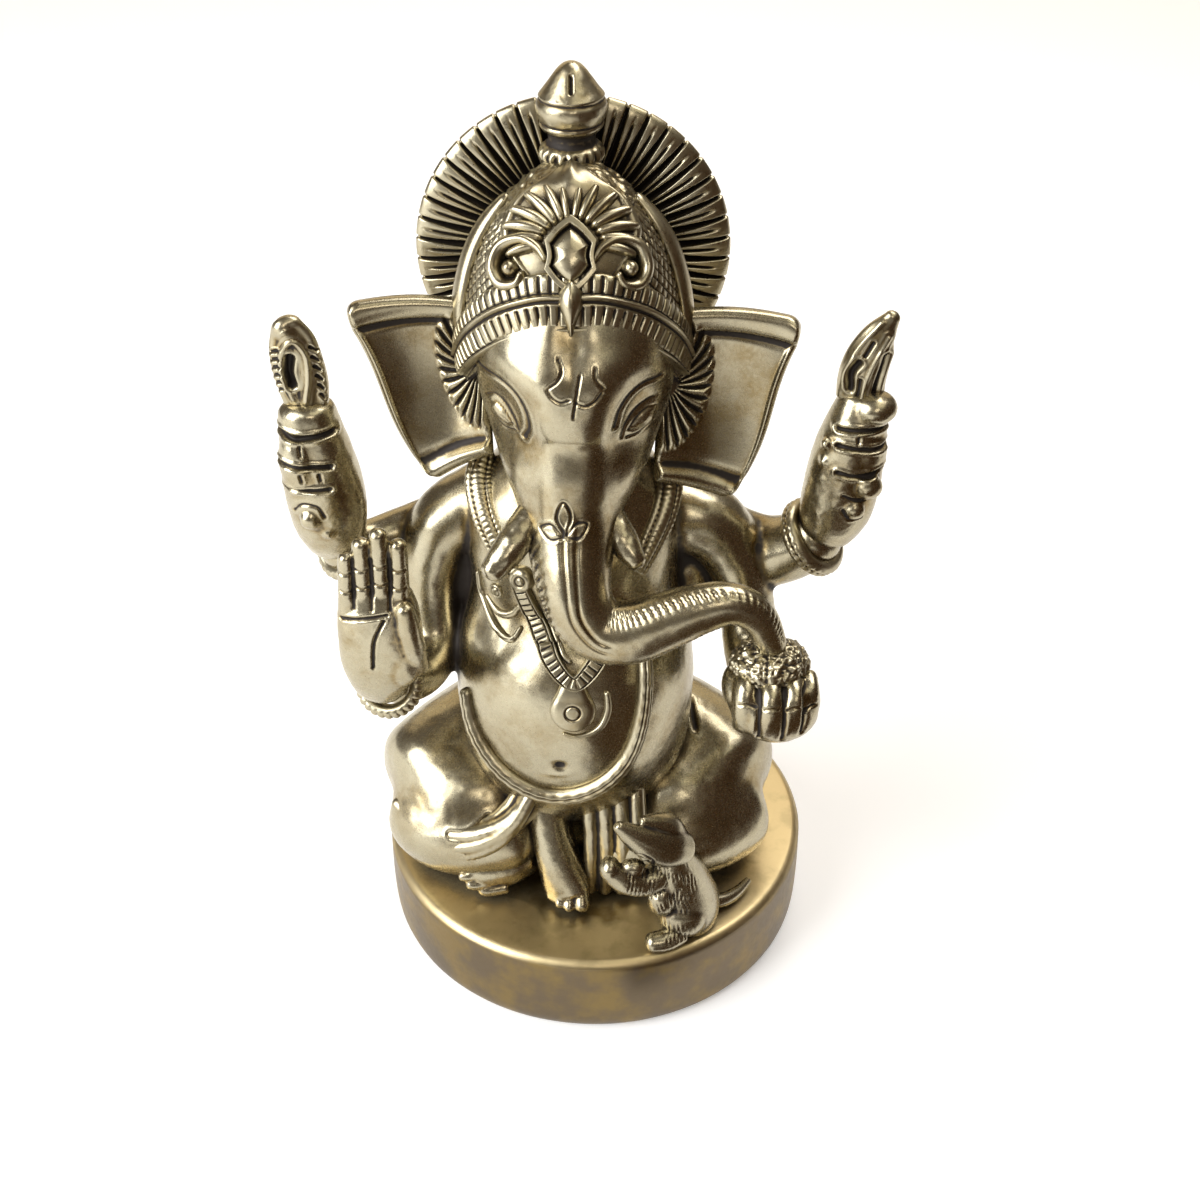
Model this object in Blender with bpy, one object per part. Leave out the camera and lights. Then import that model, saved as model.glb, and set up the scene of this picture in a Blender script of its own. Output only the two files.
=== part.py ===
"""Seated four-armed elephant-headed brass figurine on a round plinth, with a mouse at its feet.

The figure is an assembly of separately modelled castings that are brazed together. Each casting is one
object. +Z is up, the figure faces -Y, and the origin is the centre of the plinth's underside. "Right"
and "left" are the figure's own, so its right hand is at -X.

Most castings are lofts: ellipses carried along a smooth curve through a few control rows. A row is
(x, y, z, half width, half depth) in millimetres. A casting that meets another one is cut by it with a
brazing gap, so that no two of them share any metal.
"""

import bmesh
import bpy
import numpy as np
from mathutils import Matrix, Vector

MM = 0.001

# Driving dimensions, in millimetres.
PLINTH_RADIUS = 51.5
PLINTH_HEIGHT = 22.0
PLINTH_WALL = 4.6
BRAZING_GAP = 0.3
FIGURE_HEIGHT = 207.8
AXIS_X = -4.3  # the head, crown and halo stand a little to the figure's right of the plinth's centre
CROWN_Y = 1.5
CROWN_RIM_FRONT = (-22.0, 164.0)  # (y, z) of the rim over the forehead
CROWN_RIM_SIDE = (-3.0, 146.0)  # (y, z) of the rim beside the ears
HALO_CENTRE = (AXIS_X, 14.0, 167.5)
HALO_RADIUS = 32.5
HALO_THICKNESS = 4.6
EAR_THICKNESS = 2.4

X_AXIS = Vector((1, 0, 0))
Y_AXIS = Vector((0, 1, 0))
Z_AXIS = Vector((0, 0, 1))

TORSO = [
    (-4.0, 4, 24, 21, 16),
    (-4.0, 0, 42, 25, 21),
    (-4.3, -5, 60, 26.3, 25.5),
    (-4.5, -7.5, 79, 27, 26.5),
    (-4.5, -6, 93, 26, 23),
    (-4.5, -4, 105, 25, 19.5),
    (-4.5, -3, 115, 23.2, 17.5),
    (-4.5, -3, 122, 21, 16),
    (-4.5, -4, 129, 15.5, 13),
]
# (radius, height) of the crown, from its tip down to the nape
CROWN = [
    (0, 190.5),
    (5.5, 189.3),
    (10.4, 185.8),
    (15, 180.6),
    (18.8, 174.5),
    (21.4, 167.5),
    (23, 160),
    (23.4, 152),
    (22.6, 144),
    (19.5, 136.5),
    (13, 131.5),
    (0, 129.5),
]

# name: (base colour, roughness)
BRASSES = {
    "figure_brass": ((0.60, 0.52, 0.31), 0.30),
    "ornament_brass": ((0.52, 0.44, 0.25), 0.38),
    "plinth_brass": ((0.50, 0.40, 0.24), 0.42),
    "mouse_brass": ((0.58, 0.54, 0.42), 0.34),
}


def clear_scene():
    for obj in list(bpy.data.objects):
        bpy.data.objects.remove(obj)


def brass(name, kind):
    """The object's own material: metallic, with the colour and roughness of its kind of brass."""
    colour, roughness = BRASSES[kind]
    material = bpy.data.materials.new(name + "_" + kind)
    material.use_nodes = True
    shader = material.node_tree.nodes["Principled BSDF"]
    shader.inputs["Base Color"].default_value = (*colour, 1)
    shader.inputs["Metallic"].default_value = 1.0
    shader.inputs["Roughness"].default_value = roughness
    return material


def add_object(name, bm, kind="figure_brass"):
    """Closes the bmesh into a new object whose faces point outwards."""
    bmesh.ops.remove_doubles(bm, verts=bm.verts, dist=0.001 * MM)
    bmesh.ops.recalc_face_normals(bm, faces=bm.faces)
    mesh = bpy.data.meshes.new(name)
    bm.to_mesh(mesh)
    bm.free()
    mesh.shade_smooth()
    mesh.materials.append(brass(name, kind))
    obj = bpy.data.objects.new(name, mesh)
    bpy.context.scene.collection.objects.link(obj)
    return obj


def smooth_rows(rows, count):
    """A Catmull-Rom curve through the control rows, read at `count` evenly spaced parameters."""
    rows = np.array(rows, float)
    ends = 2 * rows[0] - rows[1], 2 * rows[-1] - rows[-2]
    padded = np.vstack([ends[0], rows, ends[1]])
    spans = len(rows) - 1
    place = np.linspace(0, spans, count)
    first = np.minimum(place.astype(int), spans - 1)
    u = (place - first)[:, None]
    a, b, c, d = (padded[first + k] for k in range(4))
    return 0.5 * (2 * b + (c - a) * u + (2 * a - 5 * b + 4 * c - d) * u**2 + (3 * b - a - 3 * c + d) * u**3)


def ring(bm, row, side, depth, sides, grow=1.0):
    """One ellipse of vertices about the row's centre, in the plane of `side` and `depth`."""
    angles = np.linspace(0, 2 * np.pi, sides, endpoint=False)
    centre = Vector(row[:3])
    wide, deep = row[3] * grow, row[4] * grow
    return [bm.verts.new((centre + side * wide * np.cos(a) + depth * deep * np.sin(a)) * MM) for a in angles]


def join_rings(bm, rings):
    for lower, upper in zip(rings, rings[1:]):
        for i in range(len(lower)):
            j = (i + 1) % len(lower)
            bm.faces.new((lower[i], lower[j], upper[j], upper[i]))


def sweep(name, path, normals, sides, rounded, kind):
    """Ellipses along `path`, each with its depth towards that place's normal, closed by domed ends."""
    bm = bmesh.new()
    loops = []
    for i, tangent in enumerate(np.gradient(path[:, :3], axis=0)):
        along = Vector(tangent).normalized()
        side = along.cross(normals[i]).normalized()
        depth = side.cross(along).normalized()
        if i == 0:
            start = dome(bm, path[i], -along, side, depth, sides, rounded[0])
        loops.append(ring(bm, path[i], side, depth, sides))
        if i == len(path) - 1:
            end = dome(bm, path[i], along, side, depth, sides, rounded[1])
    loops = start[::-1] + loops + end
    join_rings(bm, loops)
    bm.faces.new(loops[0])
    bm.faces.new(loops[-1])
    return add_object(name, bm, kind)


def loft(name, rows, across=Y_AXIS, rings=8, sides=10, rounded=(0.5, 0.5), kind="figure_brass"):
    """Ellipses along the curve through the rows. `across` is never parallel to the curve and sets the
    ellipses' second axis. Each end is closed by a dome of `rounded` times the ellipse's mean radius."""
    return sweep(name, smooth_rows(rows, rings), [across] * rings, sides, rounded, kind)


def strip(name, surface, places, rings=7, sides=8, rounded=(0.5, 0.5), lift=0.4):
    """An ornament laid on a surface, its middle standing `lift` proud of it. A place is (u, v, half width,
    half thickness), and surface(u, v) is a point in millimetres."""
    path, normals = [], []
    for u, v, wide, thick in smooth_rows(places, rings):
        point = surface(u, v)
        normal = (surface(u + 0.5, v) - point).cross(surface(u, v + 0.5) - point).normalized()
        if normal.dot(point - Vector((AXIS_X, 4, point.z))) < 0:
            normal = -normal
        path.append((*(point + normal * lift), wide, thick))
        normals.append(normal)
    return sweep(name, np.array(path), normals, sides, rounded, "ornament_brass")


def dome(bm, row, outward, side, depth, sides, bulge):
    """The smaller rings that round off an end of a loft, from the widest to the smallest."""
    made = []
    reach = bulge * (row[3] + row[4]) / 2
    for angle in np.radians((55,)) if bulge else ():
        moved = row.copy()
        moved[:3] += np.array(outward) * reach * np.sin(angle)
        made.append(ring(bm, moved, side, depth, sides, grow=np.cos(angle)))
    return made


def ellipsoid(name, centre, radii, segments=14, rings=8, kind="figure_brass"):
    bm = bmesh.new()
    place = Matrix.Translation(Vector(centre) * MM) @ Matrix.Diagonal((*[r * MM for r in radii], 1))
    bmesh.ops.create_uvsphere(bm, u_segments=segments, v_segments=rings, radius=1, matrix=place)
    return add_object(name, bm, kind)


def turned(name, profile, centre=(0, 0), steps=24, closed=False, kind="figure_brass"):
    """A profile of (radius, height) points turned about a vertical axis at `centre`."""
    bm = bmesh.new()
    points = [bm.verts.new(Vector((r, 0, z)) * MM) for r, z in profile]
    edges = [bm.edges.new(pair) for pair in zip(points, points[1:])]
    if closed:
        edges.append(bm.edges.new((points[-1], points[0])))
    bmesh.ops.spin(bm, geom=points + edges, axis=Z_AXIS, steps=steps, angle=2 * np.pi, use_merge=True)
    bmesh.ops.translate(bm, verts=bm.verts, vec=Vector((*centre, 0)) * MM)
    return add_object(name, bm, kind)


def hoop(name, centre, axis, radius, thickness, stretch=1.0, kind="ornament_brass"):
    """A ring of round section about `axis`: a bracelet."""
    bm = bmesh.new()
    around, section = 18, 6
    turn = Vector(axis).normalized().to_track_quat("Z", "Y").to_matrix()
    loops = []
    for a in np.linspace(0, 2 * np.pi, around, endpoint=False):
        out = turn @ Vector((np.cos(a), np.sin(a), 0))
        up = turn @ Z_AXIS
        row = np.array([*(Vector(centre) + out * radius), thickness, thickness * stretch])
        loops.append(ring(bm, row, out, up, section))
    join_rings(bm, loops + [loops[0]])
    return add_object(name, bm, kind)


def plate(name, surface, thickness, columns=7, rows=7, kind="figure_brass"):
    """A curved plate: surface(u, v) gives its middle in millimetres for u and v from 0 to 1."""
    us, vs = np.linspace(0, 1, columns), np.linspace(0, 1, rows)
    middle = np.array([[surface(u, v) for u in us] for v in vs])
    along, down = np.gradient(middle, axis=1), np.gradient(middle, axis=0)
    normal = np.cross(along, down)
    normal /= np.linalg.norm(normal, axis=2, keepdims=True)
    bm = bmesh.new()
    skins = []
    for offset in (thickness / 2, -thickness / 2):
        points = (middle + normal * offset) * MM
        skins.append([[bm.verts.new(p) for p in line] for line in points])
    for skin in skins:
        for j in range(rows - 1):
            for i in range(columns - 1):
                bm.faces.new((skin[j][i], skin[j][i + 1], skin[j + 1][i + 1], skin[j + 1][i]))
    front, back = skins
    rims = [
        (front[0], back[0]),
        (front[-1], back[-1]),
        ([line[0] for line in front], [line[0] for line in back]),
        ([line[-1] for line in front], [line[-1] for line in back]),
    ]
    for one, two in rims:
        for i in range(len(one) - 1):
            bm.faces.new((one[i], one[i + 1], two[i + 1], two[i]))
    return add_object(name, bm, kind)


def mirrored(rows):
    """The same control rows on the other side of the figure's axis."""
    return [(2 * AXIS_X - x, *rest) for x, *rest in rows]


def make_plinth():
    """A round casting, hollow and open underneath, with an eased upper edge."""
    inner = PLINTH_RADIUS - PLINTH_WALL
    roof = PLINTH_HEIGHT - PLINTH_WALL
    outer = [
        (0, PLINTH_HEIGHT),
        (PLINTH_RADIUS - 2.6, PLINTH_HEIGHT),
        (PLINTH_RADIUS - 0.9, PLINTH_HEIGHT - 0.9),
        (PLINTH_RADIUS - 0.1, PLINTH_HEIGHT - 3.2),
        (PLINTH_RADIUS, PLINTH_HEIGHT / 2),
        (PLINTH_RADIUS - 0.5, 2.5),
        (PLINTH_RADIUS - 1.4, 0),
    ]
    hollow = [(inner, 0), (inner, roof - 2), (inner - 2, roof), (0, roof)]
    turned("plinth", outer + hollow, steps=48, kind="plinth_brass")


def make_body():
    loft("torso", TORSO, rings=13, sides=18, rounded=(0, 0.3))
    ellipsoid("seat", (-4, 8, 35), (34, 27, 21), segments=18, rings=10)
    loft("right_thigh", [(-17, 9, 45, 15, 14), (-29, 0, 43, 15, 14.5), (-40, -9, 41, 13.4, 14)], sides=14)
    loft("left_thigh", [(9, 9, 45, 15, 14), (22, 0, 43, 15, 14.5), (31.5, -8.5, 41, 13.8, 14)], sides=14)
    loft(
        "right_shin",
        [(-41, -12, 34.5, 10.5, 10.5), (-35, -18, 34, 11, 11), (-26, -21.5, 34.5, 9.4, 9.6),
         (-17.5, -23, 36.5, 7.2, 7.6)],
        across=Z_AXIS,
        sides=12,
    )
    loft(
        "left_shin",
        [(33.5, -12, 35, 11, 11.5), (25, -18.5, 34, 11, 11), (14, -22.5, 34, 9.2, 9.8), (4, -24, 36, 7, 8)],
        across=Z_AXIS,
        sides=12,
    )
    loft("right_foot", [(-16.5, -24.5, 28.5, 3.6, 4.4), (-23, -27, 27.4, 3.8, 4.8), (-29.5, -27, 26.6, 3, 4)],
         across=Z_AXIS)
    loft(
        "left_foot",
        [
            (-12, -20, 47, 5.5, 5.5),
            (-10.5, -23, 41.5, 5.5, 5.6),
            (-9, -26.5, 35.5, 5.2, 5.4),
            (-7.4, -29.5, 30, 5.0, 4.6),
            (-6, -32.6, 26.6, 5.0, 2.9),
        ],
    )


def make_drapery():
    loft(
        "right_hem",
        [(-46.5, -17, 36.5, 2.6, 4.4), (-40.5, -23, 35.5, 3, 4.6), (-31.5, -27.5, 37, 3, 4.6),
         (-23.5, -29, 41, 2.8, 4.4), (-18, -28.5, 46.5, 2.4, 4), (-15, -27, 52, 2, 3.4)],
        rings=12,
        kind="ornament_brass",
    )
    loft("waist_pleats", [(3, -23, 56, 6.5, 4.6), (5, -27, 46, 6.5, 4.4), (6, -29.5, 34, 6, 4)],
         kind="ornament_brass")


def make_head():
    loft(
        "head",
        [
            (-4.2, 3, 170, 10, 9),
            (-4.2, -1, 164.5, 17, 16),
            (-4.2, -5.5, 158, 20.4, 19.8),
            (-4.2, -8, 149, 20.6, 20.4),
            (-4.2, -11, 139, 17.5, 18),
            (-4.4, -16, 131, 13.5, 15),
            (-4.7, -21.5, 124, 10.3, 12),
            (-4.8, -25.5, 118.5, 8, 8.5),
        ],
        rings=13,
        sides=18,
    )
    loft(
        "trunk",
        [
            (-4.8, -25, 123, 9.2, 8.6),
            (-4.4, -30.5, 116.5, 8.0, 7.4),
            (-3.2, -33.5, 110, 7.0, 6.6),
            (1.2, -35.2, 105.5, 6.5, 6.2),
            (7.5, -36, 105.8, 6.2, 5.9),
            (14, -36.2, 109, 5.6, 5.4),
            (21, -36.2, 112.2, 5.0, 4.8),
            (28, -36.2, 113, 4.4, 4.2),
            (33, -36.2, 110, 3.9, 3.7),
            (35.5, -36.2, 105, 3.5, 3.3),
            (36.4, -36.2, 102.2, 3.2, 3.0),
        ],
        rings=24,
        sides=12,
    )
    loft("right_tusk", [(-13, -24, 125.5, 3.7, 3.7), (-17.2, -29.2, 121.6, 3.4, 3.4), (-21, -32.4, 118, 2.2, 2.2)])
    loft("left_tusk", [(4.2, -24, 123.6, 3.4, 3.4), (7, -27.4, 120, 3, 3), (8.8, -29.2, 118, 2.2, 2.2)])


def ear_surface(root_top, tip, root_low, low_tip, cup):
    """A four-cornered patch that is hollowed by `cup` in its middle."""
    corners = [Vector(p) for p in (root_top, tip, root_low, low_tip)]

    def at(u, v):
        upper = corners[0].lerp(corners[1], u)
        lower = corners[2].lerp(corners[3], u)
        point = upper.lerp(lower, v)
        point += Y_AXIS * cup * np.sin(np.pi * u) * np.sin(np.pi * (0.1 + 0.8 * v))
        point.x += 2.5 * np.sign(corners[2].x - corners[3].x) * u * np.sin(np.pi * v)
        return point

    return at


def make_ears():
    right = ear_surface((-23, -1, 162), (-51.5, -5, 164), (-22, -12, 134), (-33.8, -9, 125), 3.5)
    left = ear_surface((14.5, -1, 159.5), (43.6, -5, 160.6), (13.5, -13, 128), (29.5, -9, 122), 3.5)
    plate("right_ear", right, EAR_THICKNESS)
    plate("left_ear", left, EAR_THICKNESS)


def on_crown(degrees, z):
    """The crown's point at this height, so many degrees round from its front."""
    profile = np.array(CROWN)[::-1]
    radius = np.interp(z, profile[:, 1], profile[:, 0])
    turn = np.radians(degrees)
    return Vector((AXIS_X + radius * np.sin(turn), CROWN_Y - radius * np.cos(turn), z))


def other_side(places):
    return [(-degrees, *rest) for degrees, *rest in places]


def make_crown():
    dome_cast = turned("crown_dome", CROWN, (AXIS_X, CROWN_Y), kind="ornament_brass")
    tilt = Vector((0, CROWN_RIM_SIDE[1] - CROWN_RIM_FRONT[1], CROWN_RIM_FRONT[0] - CROWN_RIM_SIDE[0]))
    cut_off(dome_cast, (0, *CROWN_RIM_FRONT), tilt)
    half_band = [(-75, 151.5, 2.6, 1.8), (-60, 157.5, 2.9, 1.9), (-38, 165, 3, 1.9), (-18, 168.6, 3, 1.9)]
    places = half_band + [(0, 169.6, 3, 1.9)] + other_side(half_band)[::-1]
    strip("crown_band", on_crown, places, rings=17, lift=1.3)
    lappet = [(-86, 180, 1.6, 1.2), (-84, 172, 2.4, 1.5), (-80, 163, 2.2, 1.5), (-77, 157, 1.4, 1.3)]
    strip("right_lappet", on_crown, lappet)
    strip("left_lappet", on_crown, other_side(lappet))


def make_crest():
    """The jewel, plumes, scrolls and drop on the front of the crown."""
    strip("crown_jewel", on_crown, [(0, 181.4, 2.6, 1.6), (0, 178, 5, 2.2), (0, 174.4, 2.8, 1.8)],
          rings=5, rounded=(0.3, 0.3))
    strip("crest_plumes", on_crown, [(0, 189.5, 2.4, 0.9), (0, 186.5, 7, 1.3), (0, 181, 11.4, 1.5)], sides=12)
    scroll = [(-46, 181, 1.8, 1.3), (-43, 177, 2.6, 1.6), (-34, 174.6, 1.8, 1.4)]
    strip("right_scroll", on_crown, scroll, rings=5)
    strip("left_scroll", on_crown, other_side(scroll), rings=5)
    drop = [(0, 173.2, 1.4, 1.2), (0, 170, 2.5, 1.8), (0, 166.6, 1.2, 1.4)]
    strip("crest_drop", on_crown, drop, rings=5, lift=3)
    finial = [
        (0, 188), (5, 188), (6.1, 190.6), (6.3, 192.6), (5.1, 194), (5, 195.3), (6.5, 197), (6.9, 199),
        (6.4, 201), (5.7, 202.2), (4.2, 204.5), (2.3, 206.9), (0.9, FIGURE_HEIGHT - 0.2), (0, FIGURE_HEIGHT),
    ]
    turned("finial", finial, (AXIS_X, 8), steps=16, kind="ornament_brass")


def make_halo():
    """A fan-shaped plate that stands behind the crown: a ring sector of oval section."""
    bm = bmesh.new()
    inner = 14.0
    middle = (HALO_RADIUS + inner) / 2
    loops = []
    for angle in np.radians(np.linspace(-35, 215, 29)):
        out = Vector((np.cos(angle), 0, np.sin(angle)))
        row = np.array([*(Vector(HALO_CENTRE) + out * middle), HALO_RADIUS - middle, HALO_THICKNESS / 2])
        loops.append(ring(bm, row, out, Y_AXIS, 10))
    join_rings(bm, loops)
    bm.faces.new(loops[0])
    bm.faces.new(loops[-1])
    add_object("halo", bm, "ornament_brass")


def make_front_arms():
    loft(
        "front_right_arm",
        [
            (-26, 1, 113, 9, 9),
            (-32.5, 0, 109.5, 8, 8),
            (-36.3, -2, 101, 6.6, 6.6),
            (-37, -4, 91, 6, 6),
            (-36.4, -8.5, 81.5, 6.2, 6.2),
            (-39.5, -17, 80, 5.9, 5.9),
            (-43.4, -26, 84.8, 5.2, 5.2),
        ],
        across=X_AXIS,
        rings=14,
        rounded=(0.3, 0),
    )
    loft(
        "front_right_hand",
        [
            (-44.8, -33.6, 90, 5.5, 4.2),
            (-44.4, -35.6, 96, 7.8, 4.6),
            (-43.6, -36, 104, 8.4, 4.2),
            (-43.3, -35.4, 114, 8.2, 3.4),
            (-42.8, -34, 123, 7.4, 2.7),
            (-42.6, -33.4, 126.4, 5.6, 2.2),
        ],
        rings=9,
        sides=12,
    )
    hoop("front_right_bracelet", (-44, -29.4, 86.8), (-0.2, -0.8, 0.56), 6, 1.5)
    loft(
        "front_left_arm",
        [
            (18, 1, 111, 9, 9),
            (25.5, 0, 108.5, 8.4, 8.4),
            (31.5, -1.5, 100, 7, 7),
            (34.2, -4, 90, 6.3, 6.3),
            (35.5, -9, 81.5, 6.5, 6.5),
            (36.6, -17, 79.5, 6.4, 6.4),
            (37.2, -24, 82, 6, 6),
        ],
        across=X_AXIS,
        rings=14,
        rounded=(0.3, 0),
    )
    loft(
        "front_left_hand",
        [(37.2, -27.5, 84.4, 6.4, 6), (37.2, -33, 87.5, 9.8, 7.6), (37.4, -39, 88, 9.9, 7.2), (37.8, -43.2, 86.8, 7, 5)],
        across=Z_AXIS,
        sides=12,
    )
    hoop("front_left_bracelet", (37.2, -25.4, 82.8), (0.1, -0.85, 0.45), 6.8, 1.5)
    ellipsoid("sweet_heap", (36.6, -35.6, 96), (7.8, 7, 4.8), kind="ornament_brass")


def make_rear_arms():
    loft(
        "rear_right_arm",
        [(-24, 7, 110, 8, 8), (-34, 5.5, 106, 6.4, 6.4), (-43, 3, 104.6, 5.4, 5.4), (-51.5, -1, 103.6, 5.2, 5.2),
         (-56.8, -5, 106.4, 5.4, 5.4)],
        rings=10,
        rounded=(0.3, 0),
    )
    loft(
        "rear_right_hand",
        [(-57.6, -6.6, 109.4, 5.8, 5.4), (-58.2, -8.4, 118, 7.2, 6.6), (-58, -9.2, 128, 7.5, 6.9),
         (-58.4, -9, 137, 6.6, 6), (-58.8, -8.8, 141.4, 4.8, 4.4)],
        sides=12,
    )
    hoop("rear_right_bracelet", (-55.6, -4, 105.3), (-0.6, -0.5, 0.42), 5.9, 1.5)
    loft(
        "rear_right_emblem",
        [(-58.8, -9, 141, 3.4, 2.6), (-59.3, -9, 147, 4.8, 2.8), (-59.8, -9, 153, 5.1, 2.8),
         (-60.7, -9, 159, 3.9, 2.4), (-61.2, -9, 162.4, 1.6, 1.3)],
        kind="ornament_brass",
    )
    loft(
        "rear_left_arm",
        [(16, 6, 108, 9, 9), (27, 4.5, 102.4, 8.8, 8.8), (37, 2, 99.8, 8.3, 8.3), (44.5, -1.4, 103.4, 7.4, 7.4),
         (49.2, -3.6, 108.4, 6.5, 6.5)],
        rings=10,
        rounded=(0.3, 0),
    )
    loft(
        "rear_left_hand",
        [(50.6, -4, 110.6, 6.2, 6), (53.2, -5, 118, 8, 6.9), (54.5, -5.4, 127, 8.4, 7),
         (55.2, -5.4, 136, 7.2, 6), (55.8, -5.2, 141, 5, 4.4)],
        sides=12,
    )
    hoop("rear_left_bracelet", (48, -3.1, 107), (0.66, -0.34, 0.66), 7.3, 1.6)
    loft(
        "rear_left_emblem",
        [(55.4, -5.2, 141, 4, 2.8), (55.8, -5.2, 147, 5.2, 2.9), (57.4, -5.2, 153.5, 4.6, 2.6),
         (59.6, -5.2, 159, 2.8, 1.9), (61.2, -5.2, 161.8, 1.2, 1.1)],
        kind="ornament_brass",
    )


def on_torso(x, z):
    """The point of the torso's front at this x and height."""
    rows = smooth_rows(TORSO, 200)
    centre_x, centre_y, wide, deep = (np.interp(z, rows[:, 2], rows[:, k]) for k in (0, 1, 3, 4))
    slope = np.clip((x - centre_x) / wide, -0.97, 0.97)
    return Vector((x, centre_y - deep * np.sqrt(1 - slope**2), z))


def make_jewellery():
    strip(
        "necklace",
        on_torso,
        [(-15, 107, 1.8, 1.4), (-12, 99, 2, 1.4), (-8.4, 92, 2, 1.4), (-4.5, 89.4, 2, 1.4),
         (-0.6, 92, 2, 1.4), (3.4, 98, 2, 1.4), (6.4, 104, 1.8, 1.4)],
        rings=13,
        lift=0.9,
    )
    strip("pendant", on_torso, [(-4.5, 86, 2.4, 1.2), (-4.5, 82.8, 4.8, 1.6), (-4.5, 80.4, 3.6, 1.4)], rings=5, lift=0.6)
    scroll = [(-19.4, 107, 1.6, 1.3), (-17.6, 101.5, 3, 1.7), (-15, 97, 1.8, 1.3)]
    strip("chest_scroll", on_torso, scroll, rings=6, lift=0.9)
    collar = [(-25.6, -4.5, 126, 2.4, 1.8), (-24.6, -9, 122, 2.8, 2), (-22.2, -13.4, 117.5, 2.6, 2),
              (-19.4, -17, 112.6, 2.2, 1.7)]
    loft("right_collar", collar, sides=8, kind="ornament_brass")
    loft("left_collar", mirrored(collar), sides=8, kind="ornament_brass")
    strip(
        "sacred_thread",
        on_torso,
        [(10, 97, 1.7, 1.5), (11, 86, 1.7, 1.6), (10, 76, 1.7, 1.6), (6, 66, 1.7, 1.6),
         (-1, 59.5, 1.7, 1.6), (-10, 57.5, 1.7, 1.6), (-18, 60, 1.7, 1.6), (-24.5, 65.5, 1.7, 1.6),
         (-28.6, 72, 1.7, 1.6)],
        rings=20,
        lift=0.7,
    )


def make_mouse():
    loft("mouse_body", [(20.4, -37, 23, 7.6, 7.6), (20.4, -37.2, 29, 8.2, 8), (18, -38.4, 37, 6.8, 6.8),
                        (15.8, -39.6, 43.4, 5.2, 5.4)],
         sides=12, rounded=(0, 0.5), kind="mouse_brass")
    loft("mouse_head", [(19.4, -38.6, 44.4, 4.4, 4.2), (13.4, -40.6, 48.8, 4.9, 4.6), (8, -42, 54.2, 2.8, 2.5),
                        (5, -42.6, 57, 1.2, 1.1)],
         rings=7, kind="mouse_brass")
    loft("mouse_paws", [(11.4, -43, 40.5, 2.6, 2.8), (6.4, -44, 43, 3.2, 3.6), (3.2, -44, 46.2, 1.8, 2.6)],
         rings=6, kind="mouse_brass")
    loft("mouse_foot", [(18, -44.5, 24.5, 2.6, 2.6), (13.4, -46, 24.6, 2.6, 2.2)],
         across=Z_AXIS, rings=5, kind="mouse_brass")
    loft("mouse_tail", [(27, -34, 25, 1.6, 1.6), (32.5, -31.5, 24.3, 1.3, 1.3), (36.5, -26.5, 24, 0.9, 0.9)],
         across=Z_AXIS, rings=6, sides=8, kind="mouse_brass")


def cut_off(obj, point, outward):
    """Removes what lies beyond a plane and closes the cut."""
    bm = bmesh.new()
    bm.from_mesh(obj.data)
    geometry = bm.verts[:] + bm.edges[:] + bm.faces[:]
    bmesh.ops.bisect_plane(bm, geom=geometry, plane_co=Vector(point) * MM, plane_no=outward, clear_outer=True)
    bmesh.ops.holes_fill(bm, edges=[e for e in bm.edges if e.is_boundary])
    bmesh.ops.recalc_face_normals(bm, faces=bm.faces)
    bm.to_mesh(obj.data)
    bm.free()


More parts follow.
